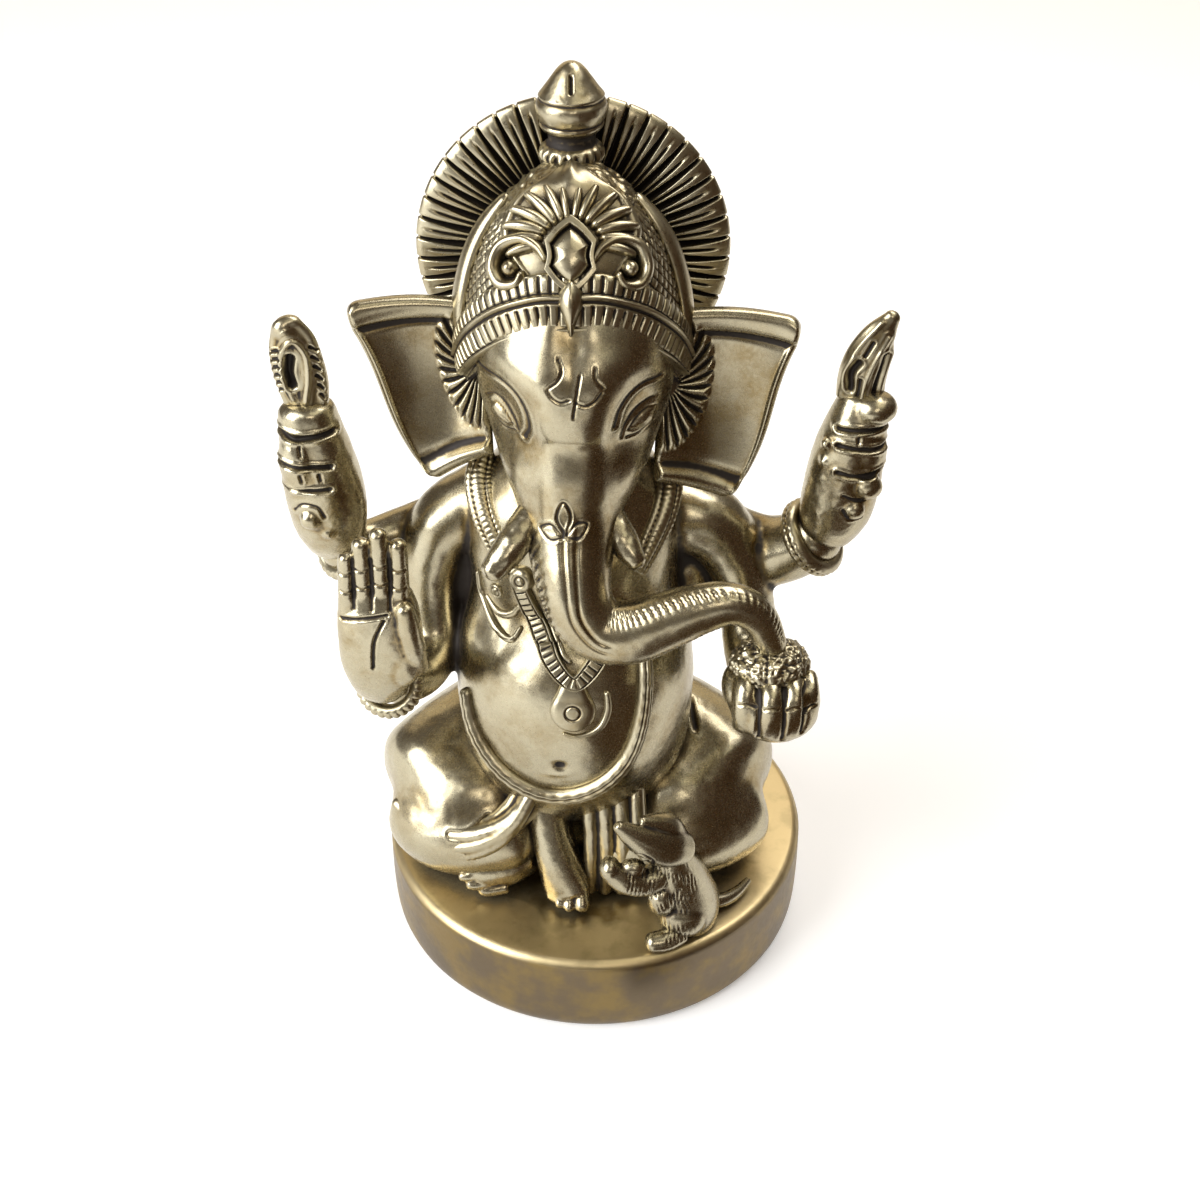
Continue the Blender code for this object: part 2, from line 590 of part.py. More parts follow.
# Each casting, with the castings that it is fitted against, which stay whole. A casting that stands on
# the plinth is first cut level, one brazing gap above it.
ON_PLINTH = (
    "torso", "seat", "right_thigh", "left_thigh", "right_shin", "left_shin", "right_foot", "left_foot",
    "right_hem", "waist_pleats", "mouse_body", "mouse_foot", "mouse_tail",
)
FITTED = {
    "seat": ("torso",),
    "right_thigh": ("torso", "seat"),
    "left_thigh": ("torso", "seat"),
    "right_shin": ("torso", "seat", "right_thigh"),
    "left_shin": ("torso", "seat", "left_thigh"),
    "left_foot": ("torso", "left_shin", "right_shin"),
    "right_foot": ("right_shin", "right_thigh", "left_foot", "torso", "seat"),
    "right_hem": ("right_shin", "right_thigh", "right_foot", "torso", "left_foot"),
    "waist_pleats": ("torso", "left_shin", "left_thigh", "left_foot", "right_foot"),
    "sacred_thread": ("torso", "right_thigh", "left_thigh", "right_shin", "left_shin", "left_foot",
                      "waist_pleats", "right_hem", "seat"),
    "head": ("torso", "crown_band"),
    "trunk": ("head", "torso"),
    "right_tusk": ("head", "trunk", "torso"),
    "left_tusk": ("head", "trunk", "torso"),
    "crown_dome": ("head", "crown_band", "torso"),
    "right_ear": ("head", "crown_dome", "crown_band", "torso"),
    "left_ear": ("head", "crown_dome", "crown_band", "torso"),
    "right_lappet": ("crown_dome", "crown_band", "right_ear", "head"),
    "left_lappet": ("crown_dome", "crown_band", "left_ear", "head"),
    "crown_jewel": ("crown_dome",),
    "crest_plumes": ("crown_dome", "crown_jewel"),
    "right_scroll": ("crown_dome", "crown_jewel", "crest_plumes", "crown_band"),
    "left_scroll": ("crown_dome", "crown_jewel", "crest_plumes", "crown_band"),
    "crest_drop": ("crown_dome", "crown_jewel", "crown_band", "head"),
    "finial": ("crown_dome",),
    "halo": ("crown_dome", "head", "finial", "right_lappet", "left_lappet"),
    "front_right_arm": ("torso", "seat", "right_thigh"),
    "front_left_arm": ("torso", "seat", "left_thigh"),
    "front_right_bracelet": ("front_right_arm",),
    "front_left_bracelet": ("front_left_arm",),
    "front_right_hand": ("front_right_arm", "front_right_bracelet"),
    "front_left_hand": ("front_left_arm", "front_left_bracelet"),
    "sweet_heap": ("front_left_hand", "trunk"),
    "rear_right_arm": ("torso", "front_right_arm"),
    "rear_left_arm": ("torso", "front_left_arm"),
    "rear_right_bracelet": ("rear_right_arm",),
    "rear_left_bracelet": ("rear_left_arm",),
    "rear_right_hand": ("rear_right_arm", "rear_right_bracelet"),
    "rear_left_hand": ("rear_left_arm", "rear_left_bracelet"),
    "rear_right_emblem": ("rear_right_hand",),
    "rear_left_emblem": ("rear_left_hand",),
    "necklace": ("torso", "trunk"),
    "pendant": ("torso",),
    "chest_scroll": ("torso", "necklace"),
    "right_collar": ("torso", "head", "front_right_arm", "chest_scroll", "necklace", "right_ear"),
    "left_collar": ("torso", "head", "front_left_arm", "necklace", "left_ear"),
    "mouse_body": ("left_shin", "left_thigh", "waist_pleats"),
    "mouse_head": ("mouse_body", "left_shin", "waist_pleats"),
    "mouse_paws": ("mouse_body", "mouse_head", "waist_pleats", "left_foot"),
    "mouse_foot": ("mouse_body",),
    "mouse_tail": ("mouse_body", "left_shin", "left_thigh"),
}


# The exact solver loses these castings, whose surfaces meet their neighbours' at a glancing angle.
NEEDS_MANIFOLD = (
    "right_ear", "left_ear", "left_thigh", "right_thigh", "chest_scroll", "crest_drop",
    "necklace", "sacred_thread", "pendant", "right_collar", "left_collar", "right_hem", "crown_jewel",
    "right_scroll", "left_scroll", "right_lappet", "left_lappet", "crest_plumes",
)


def cutters_for(names):
    """A copy of each host, grown by the brazing gap along its vertex normals, for use as a cutter."""
    made = {}
    for name in names:
        mesh = bpy.data.objects[name].data.copy()
        bm = bmesh.new()
        bm.from_mesh(mesh)
        for vertex in bm.verts:
            vertex.co += vertex.normal * BRAZING_GAP * 1.08 * MM
        bm.to_mesh(mesh)
        bm.free()
        cutter = bpy.data.objects.new("cut_by_" + name, mesh)
        bpy.context.scene.collection.objects.link(cutter)
        cutter.hide_render = True
        cutter.display_type = "WIRE"
        made[name] = cutter
    return made


def fit_castings():
    """Cuts each casting level where it stands on the plinth, then to the shape of its neighbours."""
    for name in ON_PLINTH:
        level = (0, 0, PLINTH_HEIGHT + BRAZING_GAP)
        cut_off(bpy.data.objects[name], level, -Z_AXIS)
    cutters = cutters_for({host for hosts in FITTED.values() for host in hosts})
    for name, hosts in FITTED.items():
        for host in hosts:
            fit = bpy.data.objects[name].modifiers.new("fitted_to_" + host, "BOOLEAN")
            fit.operation = "DIFFERENCE"
            fit.solver = "MANIFOLD" if name in NEEDS_MANIFOLD else "EXACT"
            fit.object = cutters[host]


def main():
    clear_scene()
    make_plinth()
    make_body()
    make_drapery()
    make_head()
    make_ears()
    make_crown()
    make_crest()
    make_halo()
    make_front_arms()
    make_rear_arms()
    make_jewellery()
    make_mouse()
    fit_castings()


main()
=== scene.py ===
"""Seated four-armed elephant-headed figurine in rubbed antique brass, on a round plinth, with its mouse.

The castings are laid out as an add-on: sizes and colours are properties, each casting or group of like
castings has an operator, and a panel lists them. All lengths below are in millimetres of the figurine,
measured from the centre of the plinth's underside; +Z is up, the figure faces -Y, and "right" and "left"
are the figure's own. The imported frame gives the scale, the origin and each casting's place.
"""

import math
from collections import namedtuple

import bpy
import numpy as np
from bpy.props import FloatProperty, FloatVectorProperty, IntProperty, PointerProperty
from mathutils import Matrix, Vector


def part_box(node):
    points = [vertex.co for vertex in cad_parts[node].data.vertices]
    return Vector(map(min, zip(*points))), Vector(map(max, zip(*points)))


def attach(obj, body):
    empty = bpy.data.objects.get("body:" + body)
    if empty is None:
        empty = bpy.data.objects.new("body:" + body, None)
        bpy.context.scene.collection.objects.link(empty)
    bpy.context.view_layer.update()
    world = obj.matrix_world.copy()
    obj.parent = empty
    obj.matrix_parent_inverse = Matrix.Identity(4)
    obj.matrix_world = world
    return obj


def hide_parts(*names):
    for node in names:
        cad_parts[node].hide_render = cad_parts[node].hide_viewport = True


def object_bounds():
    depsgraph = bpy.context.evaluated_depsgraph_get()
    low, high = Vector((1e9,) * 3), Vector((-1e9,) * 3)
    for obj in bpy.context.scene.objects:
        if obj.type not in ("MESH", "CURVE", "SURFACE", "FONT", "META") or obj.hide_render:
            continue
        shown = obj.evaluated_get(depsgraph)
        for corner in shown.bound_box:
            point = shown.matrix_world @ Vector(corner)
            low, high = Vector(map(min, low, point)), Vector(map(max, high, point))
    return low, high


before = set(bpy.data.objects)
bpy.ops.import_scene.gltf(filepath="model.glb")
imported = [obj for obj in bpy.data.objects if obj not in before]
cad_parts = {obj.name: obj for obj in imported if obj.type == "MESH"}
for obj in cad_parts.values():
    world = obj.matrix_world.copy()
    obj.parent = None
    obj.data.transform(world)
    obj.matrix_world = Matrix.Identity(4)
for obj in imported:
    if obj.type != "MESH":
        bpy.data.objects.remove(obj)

bl_info = {
    "name": "Seated Brass Figurine",
    "version": (1, 0, 0),
    "blender": (4, 5, 0),
    "location": "3D Viewport > Sidebar > Brass Figurine",
    "description": "Models a seated elephant-headed figurine in rubbed antique brass",
    "category": "Add Mesh",
}

CAD_LOW, CAD_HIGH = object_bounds()
FIGURE_HEIGHT = 207.8
MM = (CAD_HIGH.z - CAD_LOW.z) / FIGURE_HEIGHT
PLINTH_BOX = np.array([tuple(corner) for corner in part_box("plinth")])
BASE = np.array([*PLINTH_BOX.mean(axis=0)[:2], PLINTH_BOX[0, 2]])


def box_of(node):
    """A node's lowest and highest corners, in the figurine's millimetres."""
    return (np.array([tuple(corner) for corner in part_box(node)]) - BASE) / MM


PLINTH_RADIUS = box_of("plinth")[1, 0]
PLINTH_HEIGHT = box_of("plinth")[1, 2]
AXIS_X = box_of("finial").mean(axis=0)[0]
CROWN_Y = 1.5
CROWN_RIM_FRONT = (-22.0, 164.0)
CROWN_RIM_SIDE = (-3.0, 146.0)
X_AXIS, Y_AXIS, Z_AXIS = np.eye(3)
FRONT = -Y_AXIS

Skin = namedtuple("Skin", "points quads tris")

TORSO = [
    (-4.0, 4, 20, 21, 16), (-4.0, 0, 42, 24, 20), (-4.3, -5, 56, 26.3, 25.5), (-4.5, -7.5, 70, 27.2, 27.5),
    (-4.5, -7, 82, 26.6, 26.2), (-4.5, -5, 91, 24.4, 22), (-4.5, -4, 98, 22.8, 19.4),
    (-4.5, -4, 106, 23.2, 19),
    (-4.5, -3, 115, 23.0, 17.5), (-4.5, -3, 122, 21, 16),
    (-4.5, -4, 129, 15.5, 13),
]
# (radius, height) of the crown, from its tip down to the nape
CROWN = [
    (0, 190.5), (5.5, 189.3), (10.4, 185.8), (15, 180.6), (18.8, 174.5), (21.4, 167.5), (23, 160),
    (23.4, 152), (22.6, 144), (19.5, 136.5), (13, 131.5), (0, 129.5),
]


# ---------------------------------------------------------------- curves, grids and skins


def unit(vectors):
    """Vectors divided by their own lengths."""
    return vectors / np.maximum(np.linalg.norm(vectors, axis=-1, keepdims=True), 1e-12)


def curve_at(rows, places):
    """Catmull-Rom curve through the rows, read at fractional row numbers."""
    rows = np.asarray(rows, float)
    padded = np.vstack([2 * rows[0] - rows[1], rows, 2 * rows[-1] - rows[-2]])
    first = np.clip(np.asarray(places).astype(int), 0, len(rows) - 2)
    u = (places - first)[:, None]
    a, b, c, d = (padded[first + k] for k in range(4))
    return 0.5 * (2 * b + (c - a) * u + (2 * a - 5 * b + 4 * c - d) * u**2 + (3 * b - a - 3 * c + d) * u**3)


def curve(rows, count):
    """The same curve at `count` places that are evenly spaced along its length."""
    fine = curve_at(rows, np.linspace(0, len(rows) - 1, 24 * len(rows)))
    steps = np.linalg.norm(np.diff(fine[:, :3], axis=0), axis=1)
    travelled = np.concatenate([[0], np.cumsum(steps)])
    wanted = np.linspace(0, travelled[-1], count)
    return np.column_stack([np.interp(wanted, travelled, fine[:, k]) for k in range(fine.shape[1])])


def with_stations(rows):
    """The rows with each one's number as a last column, so that relief can be placed along a casting."""
    return [(*row, number) for number, row in enumerate(rows)]


def closed_skin(grid):
    """A skin round a grid of rings. The first and last rings shrink to poles, and each ring closes."""
    rings, sides = grid.shape[:2]
    points = np.vstack([grid[:1].mean(axis=1), grid[1:-1].reshape(-1, 3), grid[-1:].mean(axis=1)])
    index = 1 + np.arange(rings - 2)[:, None] * sides + np.arange(sides)
    after = np.roll(index, -1, axis=1)
    quads = np.stack([index[:-1], after[:-1], after[1:], index[1:]], -1).reshape(-1, 4)
    start = np.stack([np.zeros(sides, int), after[0], index[0]], -1)
    end = np.stack([np.full(sides, len(points) - 1), index[-1], after[-1]], -1)
    return outward(Skin(points, quads, np.vstack([start, end])))


def ring_skin(grid):
    """A skin round a grid that closes on itself both ways, such as a hoop."""
    rings, sides = grid.shape[:2]
    index = np.arange(rings * sides).reshape(rings, sides)
    corners = index, np.roll(index, -1, 1), np.roll(np.roll(index, -1, 0), -1, 1), np.roll(index, -1, 0)
    quads = np.stack(corners, -1).reshape(-1, 4)
    return outward(Skin(grid.reshape(-1, 3), quads, np.empty((0, 3), int)))


def outward(skin):
    """Turns every face round if the skin encloses a negative volume."""
    points, quads, tris = skin
    halves = np.vstack([quads[:, [0, 1, 2]], quads[:, [0, 2, 3]], tris])
    a, b, c = (points[halves[:, k]] - points[0] for k in range(3))
    if (a * np.cross(b, c)).sum() < 0:
        return Skin(points, quads[:, ::-1], tris[:, ::-1])
    return skin


def normals_of(skin):
    """Each point's normal: the mean of its faces' normals, weighted by their areas."""
    points = skin.points
    total = np.zeros_like(points)
    for faces in (skin.quads, skin.tris):
        if not len(faces):
            continue
        face = np.cross(points[faces[:, 2]] - points[faces[:, 0]],
                        points[faces[:, -1]] - points[faces[:, 1]])
        for corner in faces.T:
            for k in range(3):
                total[:, k] += np.bincount(corner, face[:, k], len(points))
    return unit(total)


def edges_of(skin):
    """Each edge of the skin once, as pairs of point numbers."""
    pairs = [np.stack([f, np.roll(f, -1, axis=1)], -1).reshape(-1, 2) for f in (skin.quads, skin.tris)
             if len(f)]
    pairs = np.sort(np.vstack(pairs), axis=1)
    keys = np.unique(pairs[:, 0].astype(np.int64) * len(skin.points) + pairs[:, 1])
    return np.stack(np.divmod(keys, len(skin.points)), 1)


def relaxed(points, edges, rounds, pull=0.6):
    """Moves each point `pull` of the way to the mean of its neighbours, `rounds` times."""
    one, two = edges.T
    count = len(points)
    degree = np.bincount(one, minlength=count) + np.bincount(two, minlength=count)
    for _ in range(rounds):
        mean = np.column_stack([
            np.bincount(one, points[two, k], count) + np.bincount(two, points[one, k], count)
            for k in range(3)
        ]) / degree[:, None]
        points = points + pull * (mean - points)
    return points


def hollowness(skin, reach):
    """How far each point lies below its surroundings, as a share of `reach`: above 0 in recesses and below
    0 on ridges. The surroundings are the skin relaxed until its details up to about `reach` are gone."""
    edges = edges_of(skin)
    spacing = np.linalg.norm(skin.points[edges[:, 0]] - skin.points[edges[:, 1]], axis=1).mean()
    rounds = int(np.clip(1.2 * (reach / spacing) ** 2, 2, 60))
    below = relaxed(skin.points, edges, rounds, 0.8) - skin.points
    return (below * normals_of(skin)).sum(axis=1) / reach


def noise(points, size, seed=0):
    """Smooth value noise between -1 and 1: hashed values on a lattice of `size`, blended between."""
    place = points / size + 1000.0
    cell = np.floor(place).astype(np.int64)
    f = place - cell
    f = f * f * (3 - 2 * f)
    total = np.zeros(len(points))
    for corner in range(8):
        step = np.array([corner & 1, corner >> 1 & 1, corner >> 2 & 1])
        x, y, z = (cell + step).T
        mixed = (x * 374761393 + y * 668265263 + z * 1274126177 + seed * 144665) & 0xFFFFFFFF
        mixed = ((mixed ^ (mixed >> 13)) * 1103515245) & 0xFFFFFFFF
        value = ((mixed ^ (mixed >> 16)) & 0xFFFF) / 32767.5 - 1
        total += value * np.prod(np.where(step, f, 1 - f), axis=1)
    return total


def bell(distance, width):
    """A bell curve: e to the power of minus the squared share of the distance in the width."""
    return np.exp(-((distance / width) ** 2))


def ramp(value, low, high):
    """0 below `low`, 1 above `high`, smooth between."""
    t = np.clip((value - low) / (high - low), 0, 1)
    return t * t * (3 - 2 * t)


def tube(rows, across, rings, sides, rounded=(0.5, 0.5), front_share=0.0, cap_rings=6):
    """Ellipses carried along the curve through the rows (x, y, z, half width, half depth, ...): centre plus
    side times half width times cosine plus depth times half depth times sine. Each end is closed by a dome
    of `rounded` times the mean radius. `front_share` crowds the sides towards the front."""
    path = curve(rows, rings)
    for _ in range(int(0.08 * (rings / len(rows)) ** 2)):
        path[1:-1] = 0.25 * path[:-2] + 0.5 * path[1:-1] + 0.25 * path[2:]
    tangent = unit(np.gradient(path[:, :3], axis=0))
    swing = np.radians(np.linspace(0, 90, cap_rings + 1)[1:])
    parts = []
    for end, sign in ((0, -1), (-1, 1)):
        row = np.repeat(path[end][None], cap_rings, axis=0)
        reach = rounded[end] * (row[:, 3] + row[:, 4]) / 2
        row[:, :3] += sign * tangent[end] * (reach * np.sin(swing))[:, None]
        row[:, 3:5] *= np.maximum(np.cos(swing), 1e-4)[:, None]
        parts.append(row if sign > 0 else row[::-1])
    full = np.vstack([parts[0], path, parts[1]])
    way = np.vstack([np.repeat(tangent[:1], cap_rings, 0), tangent, np.repeat(tangent[-1:], cap_rings, 0)])
    side = unit(np.cross(way, across))
    depth = np.cross(side, way)
    turn = np.linspace(-np.pi, np.pi, sides, endpoint=False)
    angle = turn - front_share * np.sin(turn) - np.pi / 2
    wide = full[:, 3, None, None] * np.cos(angle)[None, :, None] * side[:, None]
    deep = full[:, 4, None, None] * np.sin(angle)[None, :, None] * depth[:, None]
    grid = full[:, None, :3] + wide + deep
    return grid, full, angle


def turned(profile, centre, sides, spacing):
    """A profile of (radius, height) points turned about a vertical axis, with rings `spacing` apart."""
    profile = np.array(profile, float)
    length = np.linalg.norm(np.diff(profile, axis=0), axis=1).sum()
    line = curve([(r, 0, z) for r, z in profile], int(length / spacing))
    angle = np.linspace(0, 2 * np.pi, sides, endpoint=False)
    radius = np.maximum(line[:, 0], 0)[:, None]
    x, y = centre[0] + radius * np.sin(angle), centre[1] - radius * np.cos(angle)
    return np.stack([x, y, np.broadcast_to(line[:, 2:3], x.shape)], -1), line, angle


def ball(centre, radii, rings=40, sides=60):
    """An ellipsoid: centre plus radii times the direction at each latitude and longitude."""
    latitude = np.linspace(-np.pi / 2, np.pi / 2, rings)
    longitude = np.linspace(0, 2 * np.pi, sides, endpoint=False)
    up, turn = np.meshgrid(latitude, longitude, indexing="ij")
    shape = np.stack([np.cos(up) * np.cos(turn), np.cos(up) * np.sin(turn), np.sin(up)], -1)
    return np.array(centre) + shape * np.array(radii)


def shell(rows, across=Y_AXIS, spacing=0.9, rounded=(0.5, 0.5)):
    """A plain tube skin whose rings and sides are about `spacing` apart, for fusing with others."""
    rows = np.asarray(rows, float)
    length = np.linalg.norm(np.diff(rows[:, :3], axis=0), axis=1).sum()
    girth = 2 * np.pi * rows[:, 3:5].max()
    sides = max(12, int(girth / spacing))
    return closed_skin(tube(rows, across, max(5, int(length / spacing)), sides, rounded)[0])


def fused(skins, voxel, rounds=5):
    """One skin round several overlapping ones: a voxel remesh of them all, relaxed for `rounds`."""
    offset = 0
    points, faces = [], []
    for skin in skins:
        points.append(skin.points)
        faces += (skin.quads + offset).tolist() + (skin.tris + offset).tolist()
        offset += len(skin.points)
    mesh = bpy.data.meshes.new("fusing")
    mesh.from_pydata(np.vstack(points).tolist(), [], faces)
    obj = bpy.data.objects.new("fusing", mesh)
    bpy.context.scene.collection.objects.link(obj)
    remesh = obj.modifiers.new("skin", "REMESH")
    remesh.mode = "VOXEL"
    remesh.voxel_size = voxel
    made = obj.evaluated_get(bpy.context.evaluated_depsgraph_get()).to_mesh()
    spots = np.empty(len(made.vertices) * 3, np.float32)
    made.vertices.foreach_get("co", spots)
    corners = np.empty(len(made.loops), np.int32)
    made.loops.foreach_get("vertex_index", corners)
    bpy.data.objects.remove(obj)
    bpy.data.meshes.remove(mesh)
    skin = outward(Skin(spots.reshape(-1, 3).astype(float), corners.reshape(-1, 4), np.empty((0, 3), int)))
    return skin._replace(points=relaxed(skin.points, edges_of(skin), rounds))


# ---------------------------------------------------------------- chasing


def distance_to(line, spots):
    """Each spot's distance to a broken line, both in the same plane or space."""
    best = np.full(len(spots), np.inf)
    for start, end in zip(line[:-1], line[1:]):
        way = end - start
        t = np.clip(((spots - start) @ way) / max(way @ way, 1e-9), 0, 1)
        best = np.minimum(best, np.linalg.norm(spots - start - t[:, None] * way, axis=1))
    return best


def stroke(skin, marks, width, depth, facing=FRONT, lip=0.2, reach=None):
    """Cuts grooves: each mark is a list of (x, z) places that a smooth line runs through, drawn as seen
    from the front. The metal sinks by depth times a bell curve of the distance, and rises a little in lips
    on each side. A negative depth raises a bead instead. `reach` keeps a mark to one (low y, high y)."""
    points = skin.points.copy()
    normal = normals_of(skin)
    seen = ramp(normal @ np.asarray(facing, float), 0.02, 0.3)
    for mark in marks:
        rows = np.array([(x, 0, z) for x, z in mark], float)
        line = curve(rows, 3 + 6 * len(rows))[:, [0, 2]]
        low, high = line.min(axis=0) - 3 * width, line.max(axis=0) + 3 * width
        flat = skin.points[:, [0, 2]]
        near = ((flat > low) & (flat < high)).all(axis=1) & (seen > 0)
        if reach:
            near &= (skin.points[:, 1] > reach[0]) & (skin.points[:, 1] < reach[1])
        if not near.any():
            continue
        away = distance_to(line, flat[near])
        cut = -bell(away, width) + lip * bell(away - 1.9 * width, 0.7 * width)
        points[near] += normal[near] * (depth * cut * seen[near])[:, None]
    return skin._replace(points=points)


def swell(skin, spots, facing=FRONT):
    """Raises or sinks rounded areas. A spot is (x, z, half width, half height, turn in degrees, rise)."""
    points = skin.points.copy()
    normal = normals_of(skin)
    seen = ramp(normal @ np.asarray(facing, float), 0.02, 0.3)
    for x, z, wide, high, turn, rise in spots:
        dx, dz = skin.points[:, 0] - x, skin.points[:, 2] - z
        c, s = math.cos(math.radians(turn)), math.sin(math.radians(turn))
        along, over = (dx * c + dz * s) / wide, (dz * c - dx * s) / high
        points += normal * (rise * np.exp(-(along**2 + over**2)) * seen)[:, None]
    return skin._replace(points=points)


def displaced(skin, height):
    """Every point moved along its normal by its height."""
    return skin._replace(points=skin.points + normals_of(skin) * height[:, None])


def cast_unevenly(skin, amount=0.12, size=5.0, seed=1):
    """The slight waviness of a hand-finished casting."""
    points = skin.points
    return displaced(skin, amount * (noise(points, size, seed) + 0.4 * noise(points, size / 3, seed + 7)))


# ---------------------------------------------------------------- brass


class BrassSettings(bpy.types.PropertyGroup):
    bright: FloatVectorProperty(
        name="Rubbed brass", description="Colour of the metal where hands and cloths have rubbed it",
        default=(0.43, 0.385, 0.27), subtype="COLOR", min=0, max=1)
    warm: FloatVectorProperty(
        name="Warm brass", description="Colour of the metal that is seldom touched",
        default=(0.245, 0.175, 0.072), subtype="COLOR", min=0, max=1)
    # this dark colour fills both the real patina in the recesses and the painted occlusion shade
    patina: FloatVectorProperty(
        name="Patina", description="Colour of the dark patina that fills the recesses",
        default=(0.018, 0.012, 0.008), subtype="COLOR", min=0, max=1)
    golden: FloatVectorProperty(
        name="Golden brass", description="Colour of the cleaner metal on the plinth's top",
        default=(0.62, 0.50, 0.28), subtype="COLOR", min=0, max=1)
    # kept much darker than the golden top: partly a duller finish, partly painted shade for the plinth
    # side's dimmer reflections
    grey: FloatVectorProperty(
        name="Greyed brass", description="Colour of the plinth's dull side",
        default=(0.17, 0.13, 0.082), subtype="COLOR", min=0, max=1)
    polish: FloatProperty(
        name="Roughness", description="Roughness of the rubbed metal", default=0.27, min=0, max=1)


class ShapeSettings(bpy.types.PropertyGroup):
    body_grain: FloatProperty(
        name="Body grain", description="Distance between the mesh's points on the body",
        default=0.68 * MM, unit="LENGTH", min=0.3 * MM)
    hand_grain: FloatProperty(
        name="Hand grain", description="Distance between the mesh's points on hands, feet and mouse",
        default=0.31 * MM, unit="LENGTH", min=0.15 * MM)
    petals: IntProperty(name="Halo petals", description="Petals of the fan behind the crown", default=31,
                        min=8)


class StageSettings(bpy.types.PropertyGroup):
    window: FloatProperty(
        name="Window light", description="Power of the large soft light", default=19, unit="POWER", min=0)
    floor: FloatVectorProperty(
        name="Floor", description="Colour of the floor", default=(0.86, 0.86, 0.86), subtype="COLOR", min=0,
        max=1)


class Nodes:
    """A material's nodes, added and linked with short calls."""

    def __init__(self, name):
        self.material = bpy.data.materials.new(name)
        self.material.use_nodes = True
        self.tree = self.material.node_tree
        self.shader = self.tree.nodes["Principled BSDF"]

    def add(self, kind, settings=None, **inputs):
        node = self.tree.nodes.new(kind)
        for key, value in (settings or {}).items():
            setattr(node, key, value)
        for key, value in inputs.items():
            self.put(node, key.replace("_", " "), value)
        return node

    def put(self, node, socket, value):
        if isinstance(socket, str) and socket.isdigit():
            socket = int(socket)
        if isinstance(value, bpy.types.NodeSocket):
            self.tree.links.new(value, node.inputs[socket])
        else:
            node.inputs[socket].default_value = value

    def math(self, operation, *values):
        node = self.add("ShaderNodeMath", {"operation": operation, "use_clamp": False})
        for place, value in enumerate(values):
            self.put(node, place, value)
        return node.outputs[0]

    def range(self, value, low, high, to_low=0.0, to_high=1.0):
        node = self.add("ShaderNodeMapRange", {"interpolation_type": "SMOOTHSTEP"})
        for place, number in enumerate((value, low, high, to_low, to_high)):
            self.put(node, place, number)
        return node.outputs[0]

    def noise(self, size, detail=3.0, roughness=0.55, vector=None):
        """Noise whose features are about `size` millimetres across."""
        node = self.add("ShaderNodeTexNoise")
        self.put(node, "Vector", vector or self.place())
        self.put(node, "Scale", 1 / (size * MM))
        self.put(node, "Detail", detail)
        self.put(node, "Roughness", roughness)
        return node.outputs["Fac"]

    def place(self):
        return self.add("ShaderNodeTexCoord").outputs["Object"]

    def mix(self, share, one, two):
        node = self.add("ShaderNodeMix", {"data_type": "RGBA"})
        self.put(node, 0, share)
        self.put(node, 6, one if isinstance(one, bpy.types.NodeSocket) else (*one, 1))
        self.put(node, 7, two if isinstance(two, bpy.types.NodeSocket) else (*two, 1))
        return node.outputs[2]

    def attribute(self, name):
        return self.add("ShaderNodeAttribute", {"attribute_name": name}).outputs["Fac"]


def patina_and_painted_shade_brass(name, bright, warm, patina, polish, patina_and_shade_depth=1.0, grain=1.0):
    """Rubbed antique brass. The patina is where the surface is hollow and in worn-edged blotches, and
    painted shade from an ambient occlusion node darkens the colour further where neighbouring surfaces
    close in; the high places are bright. The darkened metal is rougher and less metallic."""
    n = Nodes(name)
    blotch = n.noise(9, 4)
    fine = n.noise(0.9, 4, 0.65)
    hollow = n.attribute("hollow")
    # painted shade: the ambient occlusion below darkens the colour where neighbouring surfaces close in, in
    # creases and where pieces meet, on top of the real patina
    shade = n.add("ShaderNodeAmbientOcclusion", {"samples": 4})
    n.put(shade, "Distance", 5.0 * MM)
    painted_occlusion_shade = n.math("SUBTRACT", 1.0, shade.outputs["AO"])
    speckle = n.math("MULTIPLY", n.math("SUBTRACT", fine, 0.5), 0.10)
    stain = n.math("MULTIPLY", n.math("SUBTRACT", blotch, 0.5), 0.10)
    # the darkening level: hollowness for the patina, plus painted occlusion shade, speckle and stains
    level = n.math("ADD", hollow, n.math("MULTIPLY", n.range(painted_occlusion_shade, 0.22, 0.85), 0.22))
    level = n.math("ADD", n.math("ADD", level, speckle), stain)
    dark = n.range(level, 0.035 / patina_and_shade_depth, 0.15 / patina_and_shade_depth)
    worn = n.range(level, -0.06, 0.08)
    tone = n.mix(n.range(blotch, 0.40, 0.66), bright, warm)
    tone = n.mix(worn, n.mix(0.75, tone, bright), n.mix(0.55, tone, warm))
    n.put(n.shader, "Base Color", n.mix(dark, tone, patina))
    n.put(n.shader, "Metallic", n.range(dark, 0.2, 1.0, 1.0, 0.35))
    rough = n.math("ADD", polish, n.math("MULTIPLY", n.math("SUBTRACT", fine, 0.5), 0.16 * grain))
    rough = n.math("ADD", rough, n.math("MULTIPLY", dark, 0.34))
    n.put(n.shader, "Roughness", rough)
    bumps = n.math("ADD", n.math("MULTIPLY", n.noise(0.35, 3, 0.6), 0.5),
                   n.math("MULTIPLY", n.noise(2.2, 3), 1.0))
    bump = n.add("ShaderNodeBump")
    n.put(bump, "Height", bumps)
    n.put(bump, "Strength", 0.35 * grain)
    n.put(bump, "Distance", 0.06 * MM)
    n.put(n.shader, "Normal", bump.outputs["Normal"])
    return n.material


